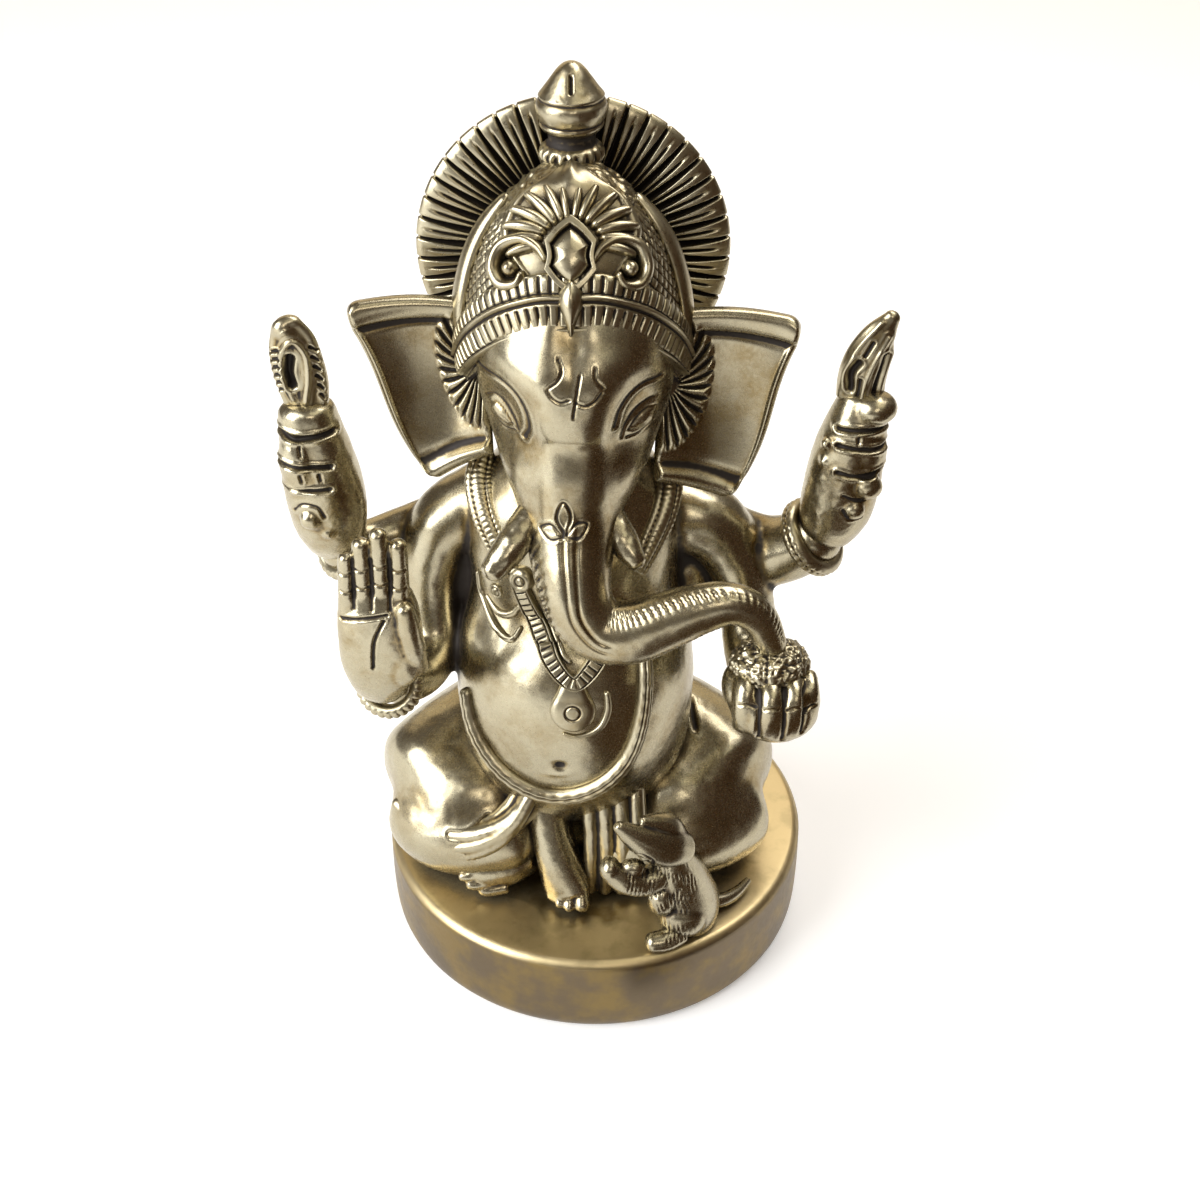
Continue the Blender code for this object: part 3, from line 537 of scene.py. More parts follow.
def plinth_brass(settings):
    """The plinth's metal: golden and stained on top; greyed, satin and darker on its side, where the darker
    colour is partly painted shade for the side's dimmer reflections; patina and painted occlusion shade
    darken its hollows and underside.
    """
    n = Nodes("patina_and_painted_shade_plinth_brass")
    place = n.place()
    split = n.add("ShaderNodeSeparateXYZ")
    n.put(split, 0, place)
    x, y, z = split.outputs
    top = (PLINTH_HEIGHT * MM) + float(BASE[2])
    on_top = n.range(z, top - 1.9 * MM, top - 0.5 * MM)
    away = n.math("SQRT", n.math("ADD", n.math("POWER", x, 2.0), n.math("POWER", y, 2.0)))
    wander = n.math("MULTIPLY", n.math("SUBTRACT", n.noise(22, 2), 0.5), 34 * MM)
    edge = n.math("ADD", away, wander)
    ring = n.range(edge, 37 * MM, 38.5 * MM)
    fine = n.noise(1.2, 4, 0.6)
    blotch = n.noise(11, 4)
    brown = n.mix(n.range(blotch, 0.42, 0.62), tuple(0.72 * c for c in settings.golden), settings.warm)
    gold = n.mix(n.range(n.noise(6, 4), 0.45, 0.7), settings.golden,
                 tuple(0.8 * c for c in settings.golden))
    surface = n.mix(ring, brown, gold)
    # the side's greyed colour is a duller finish and is also kept much darker than the golden top as
    # painted shade for the side's dimmer reflections
    side = n.mix(n.range(blotch, 0.4, 0.65), settings.grey, settings.warm)
    hollow = n.attribute("hollow")
    # painted shade: ambient occlusion darkens the colour in the hollow underneath, on the underside and
    # where other pieces stand on the top, on top of the patina
    shade = n.add("ShaderNodeAmbientOcclusion", {"samples": 4})
    n.put(shade, "Distance", 7.0 * MM)
    painted_occlusion_shade = n.math("SUBTRACT", 1.0, shade.outputs["AO"])
    level = n.math("ADD", hollow, n.math("MULTIPLY", painted_occlusion_shade, 0.30))
    dark = n.range(n.math("ADD", level, n.math("MULTIPLY", n.math("SUBTRACT", fine, 0.5), 0.1)), 0.11, 0.30)
    n.put(n.shader, "Base Color", n.mix(dark, n.mix(on_top, side, surface), settings.patina))
    n.put(n.shader, "Metallic", n.range(dark, 0.2, 1.0, 1.0, 0.4))
    base = n.math("ADD", settings.polish + 0.14, n.math("MULTIPLY", n.math("SUBTRACT", fine, 0.5), 0.2))
    n.put(n.shader, "Roughness", n.math("ADD", base, n.math("MULTIPLY", dark, 0.3)))
    bump = n.add("ShaderNodeBump")
    n.put(bump, "Height", n.math("ADD", n.math("MULTIPLY", n.noise(0.4, 3), 0.4), n.noise(3.0, 3)))
    n.put(bump, "Strength", 0.4)
    n.put(bump, "Distance", 0.06 * MM)
    n.put(n.shader, "Normal", bump.outputs["Normal"])
    return n.material


def brass_for(slot):
    """The material of one of the record's slots, made when it is first asked for."""
    # each material darkens with real patina and with painted occlusion shade
    name = "patina_and_painted_shade_" + slot
    if name in bpy.data.materials:
        return bpy.data.materials[name]
    s = bpy.context.scene.figurine_brass
    bright, warm, patina = tuple(s.bright), tuple(s.warm), tuple(s.patina)
    if slot == "plinth_brass":
        return plinth_brass(s)
    if slot == "mouse_brass":
        return patina_and_painted_shade_brass(name, tuple(0.96 * c for c in bright), tuple(0.9 * c for c in s.grey), patina,
                          s.polish, 0.9)
    if slot == "ornament_brass":
        return patina_and_painted_shade_brass(name, bright, warm, patina, s.polish + 0.03, 1.25, 1.3)
    return patina_and_painted_shade_brass(name, bright, warm, patina, s.polish)


def add_casting(name, skin, nodes, slot="figure_brass", reach=1.3):
    """Puts a skin into the scene as a casting that stands for `nodes` and rides with the body."""
    mesh = bpy.data.meshes.new(name)
    quads, tris = skin.quads, skin.tris
    points = BASE + skin.points * MM
    mesh.vertices.add(len(points))
    mesh.vertices.foreach_set("co", points.astype(np.float32).ravel())
    corners = np.concatenate([quads.ravel(), tris.ravel()])
    sizes = np.concatenate([np.full(len(quads), 4), np.full(len(tris), 3)])
    mesh.loops.add(len(corners))
    mesh.loops.foreach_set("vertex_index", corners.astype(np.int32))
    mesh.polygons.add(len(sizes))
    mesh.polygons.foreach_set("loop_start", (np.cumsum(sizes) - sizes).astype(np.int32))
    mesh.update(calc_edges=True)
    hollow = mesh.attributes.new("hollow", "FLOAT", "POINT")
    hollow.data.foreach_set("value", hollowness(skin, reach).astype(np.float32))
    mesh.shade_smooth()
    mesh.materials.append(brass_for(slot))
    piece = bpy.data.objects.new(name, mesh)
    bpy.context.scene.collection.objects.link(piece)
    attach(piece, "root")
    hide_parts(*nodes)
    return piece


# ---------------------------------------------------------------- plinth and body


def plinth_skin():
    """The closed profile of top, eased rim, side, foot and hollow, turned about the plinth's axis."""
    radius, height, wall, ease = PLINTH_RADIUS, PLINTH_HEIGHT, 4.6, 2.2
    swing = np.radians(np.linspace(90, 0, 9))
    rim = [(radius - 0.15 - ease + ease * math.cos(a), height - ease + ease * math.sin(a)) for a in swing]
    inner, roof = radius - wall, height - wall
    profile = [(0, height), (20, height), (40, height), *rim, (radius, 11), (radius - 0.3, 3),
               (radius - 1.3, 0.3),
               (radius - 1.6, 0), (inner + 0.4, 0), (inner, 0.4), (inner, roof - 2), (inner - 2, roof),
               (20, roof), (0, roof)]
    grid, _, _ = turned(profile, (0, 0), 280, 1.0)
    skin = closed_skin(grid)
    skin = displaced(skin, -0.05 - 0.05 * noise(skin.points, 9, 3))
    skin.points[:, 2] = np.maximum(skin.points[:, 2], 0)
    return skin


ARMS = {
    "front_right_arm": [(-24, 1, 114, 9, 9), (-32.5, 0, 109.5, 8, 8), (-36.3, -2, 101, 6.6, 6.6),
                        (-37, -4, 91, 6, 6),
                        (-36.4, -8.5, 81.5, 6.2, 6.2), (-39.5, -17, 80, 5.9, 5.9),
                        (-43.4, -26, 84.8, 5.2, 5.2)],
    "front_left_arm": [(16, 1, 111.5, 9, 9), (25.5, 0, 108.5, 8.4, 8.4), (31.5, -1.5, 100, 7, 7),
                       (34.2, -4, 90, 6.3, 6.3),
                       (35.5, -9, 81.5, 6.5, 6.5), (36.6, -17, 79.5, 6.4, 6.4), (37.2, -24, 82, 6, 6)],
    "rear_right_arm": [(-22, 7, 110.5, 8, 8), (-34, 5.5, 106, 6.4, 6.4), (-43, 3, 104.6, 5.4, 5.4),
                       (-51.5, -1, 103.6, 5.2, 5.2), (-56.8, -5, 106.4, 5.4, 5.4)],
    "rear_left_arm": [(14, 6, 108.5, 9, 9), (27, 4.5, 102.4, 8.8, 8.8), (37, 2, 99.8, 8.3, 8.3),
                      (44.5, -1.4, 103.4, 7.4, 7.4), (49.2, -3.6, 108.4, 6.5, 6.5)],
}


def body_skin(grain):
    """Torso, hips and the four arms fused, with the navel chased in, a small lip below it and a slight
    swell over the belly.
    """
    shells = [shell(TORSO, rounded=(0.1, 0.3)), closed_skin(ball((-4, 8, 35), (34, 27, 21)))]
    shells += [closed_skin(ball((x, 2, 95), (8, 7, 17))) for x in (-29, 21)]
    shells += [shell(rows, X_AXIS if name.startswith("front") else Y_AXIS) for name, rows in ARMS.items()]
    skin = fused(shells, grain, 6)
    skin = stand_on_plinth(cast_unevenly(skin))
    skin = swell(skin, [(-7.6, 67.6, 1.5, 1.2, 0, -1.3), (-8.2, 65.2, 2.4, 0.8, 10, 0.35),
                        (-4, 76, 15, 12, 0, 0.3)])
    return skin


def stand_on_plinth(skin):
    """No point lower than just under the plinth's top."""
    points = skin.points.copy()
    points[:, 2] = np.maximum(points[:, 2], PLINTH_HEIGHT - 0.4)
    return skin._replace(points=points)


LEGS = {
    "right": (
        [(-12, 11, 46, 15.6, 14.6), (-17, 9, 45.5, 16.1, 15.2), (-29, 0, 43.5, 16.3, 15.8),
         (-40.5, -9.5, 41, 14.8, 15.6)],
        [(-41, -12, 34.5, 11.4, 11.6), (-35, -18, 34, 11.6, 11.6), (-26, -21.5, 34.5, 10.4, 10.6),
         (-17, -23, 36.5, 8.2, 8.6)],
        ((-29, -12.5, 42), (17, 14, 12)),
        [[(-33.5, 40.5), (-29, 41.2), (-24.8, 44.2)]],
    ),
    "left": (
        [(5, 11, 46, 15.6, 14.6), (9, 9, 45.5, 16.1, 15.2), (22, 0.5, 43.5, 16.3, 15.8),
         (32, -8.5, 41, 15.0, 15.6)],
        [(34, -12, 34.5, 11.6, 12), (25, -18.5, 34, 11.8, 11.8), (14, -22.5, 34, 10.2, 10.8),
         (4, -24, 36, 7.8, 8.8)],
        ((20.5, -12.5, 42), (17, 14, 12)),
        [[(18.6, 61), (22, 60.4), (23.6, 57)], [(20.6, 65), (24.6, 64), (26.2, 60)]],
    ),
}


def leg_skin(side):
    """A folded leg: thigh, knee and shin run together into one rounded mass, with the cloth's creases."""
    thigh, shin, between, folds = LEGS[side]
    skin = fused([shell(thigh), shell(shin, Z_AXIS), closed_skin(ball(*between))], 0.52, 140)
    skin = stand_on_plinth(cast_unevenly(skin, seed=4))
    return stroke(skin, folds, 0.6, 0.7)


# ---------------------------------------------------------------- head


HEAD = [
    (-4.2, 3, 170, 10, 9), (-4.2, -1, 164.5, 17, 16), (-4.0, -5.5, 158, 19.9, 19.8),
    (-3.8, -8, 149, 19.9, 20.4),
    (-4.0, -11, 139, 17.2, 18), (-4.4, -16, 131, 13.5, 15), (-4.7, -21.5, 124, 10.3, 12),
    (-4.4, -30.5, 116.5, 8.0, 7.4), (-3.0, -33.5, 110, 7.2, 6.8), (1.6, -35.2, 105.2, 7.0, 6.4),
    (8, -36, 105.6, 6.8, 6.2), (14.5, -36.2, 108.6, 6.2, 5.7), (21.4, -36.2, 111.6, 5.4, 5.0),
    (28, -36.2, 113, 4.4, 4.2), (33, -36.2, 110, 3.9, 3.7), (35.5, -36.2, 105, 3.5, 3.3),
    (36.4, -36.2, 102.2, 3.2, 3.0),
]


def head_skin():
    """The head and trunk as one swept skin. Rings crowd towards the front, where the chasing is."""
    grid, full, angle = tube(with_stations(HEAD), Y_AXIS, 405, 230, (0.3, 0.6), front_share=0.5)
    skin = closed_skin(grid)
    sides = grid.shape[1]
    station = np.concatenate([full[:1, 5], np.repeat(full[1:-1, 5], sides), full[-1:, 5]])
    turn = np.degrees(np.concatenate([angle[:1], np.tile(angle, len(full) - 2), angle[:1]]))
    skin = cast_unevenly(skin, 0.08, seed=11)
    skin = displaced(skin, face_relief(skin))
    skin = swell(skin, FACE_FORMS)
    skin = stroke(skin, BROWS, 0.5, 0.4, lip=0.3)
    skin = stroke(skin, EYE_LINES, 0.27, 0.22, lip=0.3)
    skin = stroke(skin, FOREHEAD_MARK + FLOWER, 0.27, 0.36, lip=0.2)
    return displaced(skin, trunk_relief(station, turn))


def face_relief(skin):
    """The broad ridge from forehead to trunk, between two sockets, under the forehead's two lobes."""
    x, _, z = skin.points.T
    aside = np.abs(x + 4.3)
    seen = ramp(normals_of(skin) @ FRONT, 0.0, 0.4)
    ridge = 1.5 * np.exp(-((aside / 7.0) ** 4)) * (np.tanh((z - 127) / 5) - np.tanh((z - 158) / 6)) / 2
    sockets = -2.3 * np.exp(-(((aside - 13.2) / 4.6) ** 2) - ((z - 147.5) / 8.0) ** 2)
    cheeks = 0.9 * np.exp(-(((aside - 12.0) / 4.0) ** 2) - ((z - 135) / 5.0) ** 2)
    lobes = 1.2 * np.exp(-(((aside - 9.0) / 6.5) ** 2) - ((z - 158.5) / 5.0) ** 2)
    return seen * (ridge + sockets + cheeks + lobes)


# (x, z, half width, half height, turn, rise): the dip in the forehead and the eyeballs
FACE_FORMS = [(-4, 166, 3.0, 4.5, 0, -0.8), (-18.2, 147.4, 2.9, 1.9, -38, 1.5),
              (9.8, 146.6, 2.9, 1.9, 38, 1.5)]
BROWS = [
    [(-22.8, 155.3), (-19, 155.6), (-15.8, 154.2), (-13.6, 151), (-12.8, 147), (-13.6, 144)],
    [(13.2, 154.6), (9.9, 155), (7.2, 153.8), (5.2, 151), (4.2, 147.5)],
]
EYE_LINES = [
    [(-21.4, 149.6), (-19.6, 151.0), (-17.4, 150), (-15.6, 147), (-14.9, 144.6)],
    [(-21.0, 148), (-19.4, 149.4), (-17.6, 148.2), (-16.2, 145.8)],
    [(-21.2, 147.6), (-20, 145), (-17.8, 143.6), (-15.6, 144.2)],
    [(-20.4, 147.4), (-19.2, 145.8), (-17.4, 144.8), (-16.2, 145.6)],
    [(12.8, 150.4), (10.6, 150.6), (8, 149.2), (6, 146.4), (5.4, 144)],
    [(12.2, 148.6), (10.4, 148.8), (8.4, 147.4), (6.8, 145.2)],
    [(12.6, 148), (11.2, 145), (8.8, 143.4), (6.4, 143.6)],
    [(11.8, 147.6), (10.4, 145.8), (8.4, 144.6), (7, 145)],
]
FOREHEAD_MARK = [
    [(-6.8, 162.3), (-6.0, 160.4), (-6.8, 158.7), (-8.5, 157.4)],
    [(-8.9, 157.1), (-8, 155.6), (-6.4, 154.7), (-4.7, 155.1)],
    [(0.3, 160.8), (0.4, 159.0), (1.9, 157.2)],
    [(1.5, 156.3), (0.2, 154.7), (-1.6, 154), (-3.4, 154.6)],
    [(-2.6, 159.6), (-3.2, 156), (-3.9, 151.6)],
]
FLOWER = [
    [(-5.9, 127.4), (-7.4, 130.4), (-6.0, 133.6), (-4.5, 130.8), (-5.5, 127.4)],
    [(-6.2, 127), (-8.6, 128.8), (-10.8, 127.4), (-8.8, 126), (-6.4, 126.8)],
    [(-5.3, 127.2), (-3.4, 129.4), (-1.2, 129.0), (-2.6, 126.8), (-5, 126.8)],
]


def trunk_relief(station, turn):
    """Short cuts along both edges of the trunk and a double stem down its front. `station` counts the
    control rows, and `turn` is the angle round the trunk: -90 at the front, 0 on its upper left side."""
    turn = (turn + 270) % 360 - 270
    teeth = 0.5 + 0.5 * np.cos(2 * np.pi * (station * 5.0 + turn / 60))
    cuts = ramp(teeth, 0.62, 0.9)
    on_trunk = ramp(station, 6.0, 6.8) * (1 - ramp(station, 15.4, 15.8))
    lower = bell(turn + 152, 15)
    upper = bell(turn + 30, 15) * ramp(station, 8.6, 9.6)
    stem = bell(turn + 80, 4) + bell(turn + 97, 4)
    stem = stem * ramp(station, 6.1, 6.4) * (1 - ramp(station, 9.2, 9.6))
    return -on_trunk * (0.34 * cuts * (lower + 0.8 * upper) + 0.32 * stem)


TUSKS = {
    "right_tusk": [(-10.5, -21.5, 127, 3.7, 3.7), (-13, -24.4, 125.2, 3.7, 3.7),
                   (-17.2, -29.4, 121.4, 3.4, 3.4),
                   (-20.6, -32.4, 118.2, 2.5, 2.5)],
    "left_tusk": [(2.2, -21.5, 126, 3.3, 3.3), (4.2, -24, 123.4, 3.3, 3.3), (7, -27.4, 120, 2.9, 2.9),
                  (8.6, -29, 118.2, 2.2, 2.2)],
}


def tusk_skin(name):
    """A short tusk: ellipses along a line, with a worn, uneven skin."""
    skin = closed_skin(tube(TUSKS[name], Y_AXIS, 70, 90, (0.3, 0.7))[0])
    return displaced(skin, 0.12 * noise(skin.points, 2.2, 5) + 0.05 * noise(skin.points, 0.9, 6))


def ear_corners(side):
    """Where the ear starts at the crown, its tip, its lower root and its lower tip."""
    if side == "right":
        return np.array([(-22, -1, 162.5), (-51.5, -5, 164), (-21, -12, 133.5), (-34.2, -9, 125)], float)
    return np.array([(13.5, -1, 160.5), (43.6, -5, 160.6), (12.5, -13, 127.5), (29, -9, 120.5)], float)


def with_round_corners(u, v, size):
    """The two outer corners of a unit square drawn in to quarter circles: in a corner's own square, each
    of its two shares is multiplied by sqrt(1 - half the other's square)."""
    out = np.clip((u - 1 + size) / size, 0, 1)
    up, down = np.clip((size - v) / size, 0, 1), np.clip((v - 1 + size) / size, 0, 1)
    aside = np.maximum(up, down)
    u = np.where(out > 0, 1 - size + size * out * np.sqrt(1 - aside**2 / 2), u)
    squeeze = np.sqrt(1 - out**2 / 2)
    v = np.where(down > 0, 1 - size + size * down * squeeze, v)
    v = np.where(up > 0, size - size * up * squeeze, v)
    return u, v


def ear_skin(side, count=160):
    """A four-cornered patch (u from root to edge, v from top to hem), hollowed in its middle, with a rolled
    top, a fold along the hem and a fan of ridges at the root. Front and back meet in a rounded rim."""
    root_top, tip, root_low, low_tip = ear_corners(side)
    way = 1 if side == "left" else -1
    s = np.linspace(0, 1, count)
    u, v = np.meshgrid(s, s, indexing="ij")
    out, down = with_round_corners(u, v, 0.15)
    top = root_top + (tip - root_top) * out[..., None]
    low = root_low + (low_tip - root_low) * out[..., None]
    middle = top + (low - top) * down[..., None]
    middle[..., 1] += 3.5 * np.sin(np.pi * out) * np.sin(np.pi * (0.1 + 0.8 * down))
    middle[..., 0] += way * out**2 * (0.5 * np.sin(np.pi * down) - 1.0 * np.sin(2 * np.pi * down))
    middle[..., 2] += 1.2 * np.sin(np.pi * out) * (1 - down)
    normal = unit(np.cross(np.gradient(middle, axis=0), np.gradient(middle, axis=1)))
    normal *= np.sign((normal * FRONT).sum(-1).mean())
    edge = np.minimum.reduce([u * 27, (1 - u) * 27, v * 33, (1 - v) * 33])
    thick = 1.15 * np.sqrt(np.clip(1 - (1 - np.clip(edge / 1.3, 0, 1)) ** 2, 0, 1))
    roll = 1.5 * half_round(np.clip((v - 0.055) / 0.075, -1, 1)) - 0.3 * bell(v - 0.15, 0.02)
    hem = 1.1 * bell(v - 0.955, 0.035) - 0.4 * bell(v - 0.885, 0.03)
    hem += 0.5 * bell(u - 0.975, 0.02) * ramp(v, 0.1, 0.2)
    roll *= ramp(u, 0.02, 0.2)
    across, down = (u - 0.08) * 29, (v - 0.43) * 34
    radius, angle = np.hypot(across, down), np.degrees(np.arctan2(down, across))
    bent = angle + 1.6 * (radius - 8)
    fan = np.abs(np.cos(np.radians(bent) * 12.5)) ** 0.7
    outer = 12.6 - 1.2 * np.cos(np.radians(angle) * 2)
    window = ramp(radius, 2.0, 3.5) * (1 - ramp(radius, outer - 2.2, outer))
    window = window * ramp(104 - np.abs(angle), 0, 6)
    fan = window * (0.7 - 1.5 * (1 - fan))
    dish = -0.6 * bell(radius, 7)
    front = middle + normal * (thick + roll * 1.0 + hem + fan + dish)[..., None]
    back = middle - normal * thick[..., None]
    return plate_skin(front, back)


def plate_skin(front, back):
    """Two grids that share their edges, closed into one skin."""
    rows, columns = front.shape[:2]
    index = np.arange(rows * columns).reshape(rows, columns)
    behind = index + rows * columns
    rim = np.zeros((rows, columns), bool)
    rim[[0, -1]] = True
    rim[:, [0, -1]] = True
    behind = np.where(rim, index, behind)
    points = np.vstack([front.reshape(-1, 3), back.reshape(-1, 3)])
    quads = []
    for grid, flip in ((index, 1), (behind, -1)):
        corners = np.stack([grid[:-1, :-1], grid[1:, :-1], grid[1:, 1:], grid[:-1, 1:]], -1).reshape(-1, 4)
        quads.append(corners[:, ::flip])
    quads = np.vstack(quads)
    used, where = np.unique(quads, return_inverse=True)
    return outward(Skin(points[used], where.reshape(-1, 4), np.empty((0, 3), int)))


# ---------------------------------------------------------------- crown


def crown_radius(z):
    """The crown's radius at a height, read from its profile."""
    profile = curve([(r, 0, h) for r, h in CROWN], 300)[::-1]
    return np.interp(z, profile[:, 2], np.maximum(profile[:, 0], 0))


def on_crown(degrees, z, height=0.0):
    """The crown's points so many degrees round from its front, at height z, lifted off it by `height`."""
    degrees, z = np.asarray(degrees, float), np.asarray(z, float)
    turn = np.radians(degrees)
    radius = crown_radius(z)
    slope = (crown_radius(z + 0.2) - crown_radius(z - 0.2)) / 0.4
    out = np.stack([np.sin(turn), -np.cos(turn), -slope * np.ones_like(turn)], -1)
    point = np.stack([AXIS_X + radius * np.sin(turn), CROWN_Y - radius * np.cos(turn), z], -1)
    return point + unit(out) * np.asarray(height)[..., None]


def crown_skin():
    """The crown: its profile turned, and each meridian cut where it meets the slanting rim. A lattice of
    small scales is chased into its sides, and the lower part turns in under the head."""
    line = curve([(r, 0, h) for r, h in CROWN], 1200)
    sides, rings = 420, 190
    angle = np.linspace(-np.pi, np.pi, sides, endpoint=False)
    y = CROWN_Y - line[:, 0][:, None] * np.cos(angle)
    (front_y, front_z), (side_y, side_z) = CROWN_RIM_FRONT, CROWN_RIM_SIDE
    rim = front_z + (y - front_y) * (side_z - front_z) / (side_y - front_y) - 2
    under = line[:, 2][:, None] < rim
    end = np.where(under.any(axis=0), under.argmax(axis=0), len(line) - 1)
    place = np.linspace(0, 1, rings)[:, None] ** 0.9 * end
    radius = np.interp(place, np.arange(len(line)), line[:, 0])
    height = np.interp(place, np.arange(len(line)), line[:, 2])
    grid = np.stack([AXIS_X + radius * np.sin(angle), CROWN_Y - radius * np.cos(angle), height], -1)
    inside = grid[-1:] * 0.5 + np.array([AXIS_X, 2, 155]) * 0.5
    grid = np.concatenate([grid, inside, np.broadcast_to([[[AXIS_X, 2.0, 155.0]]], (1, sides, 3))])
    skin = closed_skin(grid)
    x, y, z = (skin.points - [AXIS_X, CROWN_Y, 0]).T
    degrees = np.degrees(np.arctan2(x, -y))
    run = np.radians(degrees) * 20
    pitch = 2.3
    one, two = (np.abs((run * a + z * 0.8) / pitch % 1 - 0.5) * 2 for a in (1, -1))
    lattice = ramp(np.maximum(one, two), 0.72, 0.95)
    chips = np.clip(noise(skin.points, 1.5, 21), -0.2, 1) * 0.35 + noise(skin.points, 0.7, 22) * 0.12
    sides_only = ramp(np.abs(degrees), 30, 42)
    low = 1 - ramp(z, 179, 184)
    relief = -0.42 * lattice * low * sides_only
    relief += chips * (0.4 + 1.1 * (1 - low)) * ramp(np.abs(degrees), 12, 24)
    return displaced(skin, np.where(np.hypot(x, y) > 3, relief, 0))


def halo_skin(petals):
    """An oval section carried round a ring sector. Each petal is a rounded flute with a slit down its
    middle, parted from its neighbours by a deep groove."""
    low, high = box_of("halo")
    centre = np.array([AXIS_X, (low[1] + high[1]) / 2, high[2] - 32.5])
    outer, inner, half = 32.5, 14.0, (high[1] - low[1]) / 2
    start, end = -35.0, 215.0
    angle = np.radians(np.linspace(start, end, 900))
    section = np.linspace(0, 2 * np.pi, 72, endpoint=False)
    section = section + 0.35 * np.sin(2 * section)
    a, t = np.meshgrid(angle, section, indexing="ij")
    phase = (np.degrees(a) - start) / (end - start) * petals
    local = np.abs(phase % 1 - 0.5) * 2
    reach = np.cos(t)
    radius = (outer + inner) / 2 + (outer - inner) / 2 * reach
    facing = np.clip(-np.sin(t), 0, 1)
    spread = np.radians((end - start) / petals) * radius / 2
    gap_half = 0.72 - 0.30 * ramp(radius, 22, 32)
    groove = ramp(local * spread, spread - 2 * gap_half * 0.62, spread - 0.1 * gap_half)
    outer_fade = 1 - ramp(radius, 31.2, 32.3)
    slit = bell(local * spread, 0.26) * (1 - ramp(radius, 27.5, 31)) * 1.2
    flute = np.sqrt(np.clip(1 - (local * 0.9) ** 2, 0, 1))
    front = facing ** 0.5
    sink = front * (2.1 * groove * (0.25 + 0.75 * outer_fade) + 0.9 * slit - 0.35 * flute)
    scallop = 0.45 * groove * ramp(reach, 0.6, 1.0)
    out = np.stack([np.cos(a), np.zeros_like(a), np.sin(a)], -1)
    depth = half * np.sin(t)
    grid = centre + out * (radius - scallop)[..., None] + Y_AXIS * (depth + sink)[..., None]
    middle = centre + np.stack([np.cos(angle), 0 * angle, np.sin(angle)], -1) * (outer + inner) / 2
    ends = [np.broadcast_to(middle[k], (1, len(section), 3)) for k in (0, -1)]
    return closed_skin(np.concatenate([ends[0], grid, ends[1]]))


def joined(skins):
    """Several closed skins kept whole in one piece."""
    points, quads, tris, offset = [], [], [], 0
    for skin in skins:
        points.append(skin.points)
        quads.append(skin.quads + offset)
        tris.append(skin.tris + offset)
        offset += len(skin.points)
    return Skin(np.vstack(points), np.vstack(quads), np.vstack(tris))


# ---------------------------------------------------------------- ornaments laid on a surface


def crown_place(points):
    """The (degrees, z) of points near the crown."""
    turn = np.arctan2(points[..., 0] - AXIS_X, CROWN_Y - points[..., 1])
    return np.degrees(turn), points[..., 2]


def torso_front(x, z):
    """The y of the torso's front at x and z. Its sections lean with its middle line, so the section that
    passes through the place is found by steps that halve the miss."""
    rows = curve_at(TORSO, np.linspace(0, len(TORSO) - 1, 400))
    lean = unit(np.gradient(rows[:, :3], axis=0))
    level = z + 0.0 * x
    for _ in range(14):
        measures = (rows[:, 0], rows[:, 3], rows[:, 4], lean[:, 1])
        centre_x, wide, deep, tilt = (np.interp(level, rows[:, 2], k) for k in measures)
        share = np.clip((x - centre_x) / wide, -0.97, 0.97)
        level = 0.5 * level + 0.5 * (z - tilt * deep * np.sqrt(1 - share**2))
    centre_y = np.interp(level, rows[:, 2], rows[:, 1])
    return centre_y - np.sqrt(1 - tilt**2) * deep * np.sqrt(1 - share**2)


def on_torso(x, z, height=0.0):
    """The torso's front at this x and z, lifted off it by `height`."""
    x, z = np.asarray(x, float), np.asarray(z, float)
    across = (torso_front(x + 0.4, z) - torso_front(x - 0.4, z)) / 0.8
    up = (torso_front(x, z + 0.4) - torso_front(x, z - 0.4)) / 0.8
    normal = unit(np.stack([across, -np.ones_like(across), up], -1))
    point = np.stack([x + 0 * z, torso_front(x, z), z + 0 * x], -1)
    return point + normal * np.asarray(height)[..., None]


def torso_place(points):
    """The (x, z) of points, as the torso's sheet uses them."""
    return points[..., 0], points[..., 2]


def on_crest(x, z, height=0.0):
    """A sheet that touches the crown's front along its middle and bends less than the crown does."""
    x, z = np.asarray(x, float), np.asarray(z, float)
    bend = 1 / 46.0
    front = CROWN_Y - crown_radius(z)
    slope = (crown_radius(z + 0.2) - crown_radius(z - 0.2)) / 0.4
    normal = unit(np.stack([2 * bend * x + 0 * z, -np.ones_like(x * z), -slope + 0 * x], -1))
    point = np.stack([AXIS_X + x + 0 * z, front + bend * x**2, z + 0 * x], -1)
    return point + normal * np.asarray(height)[..., None]


def crest_place(points):
    """The (x, z) of points, as the crest's sheet uses them."""
    return points[..., 0] - AXIS_X, points[..., 2]


CROWN_FACE = (on_crown, crown_place)
CREST_FACE = (on_crest, crest_place)
TORSO_FACE = (on_torso, torso_place)


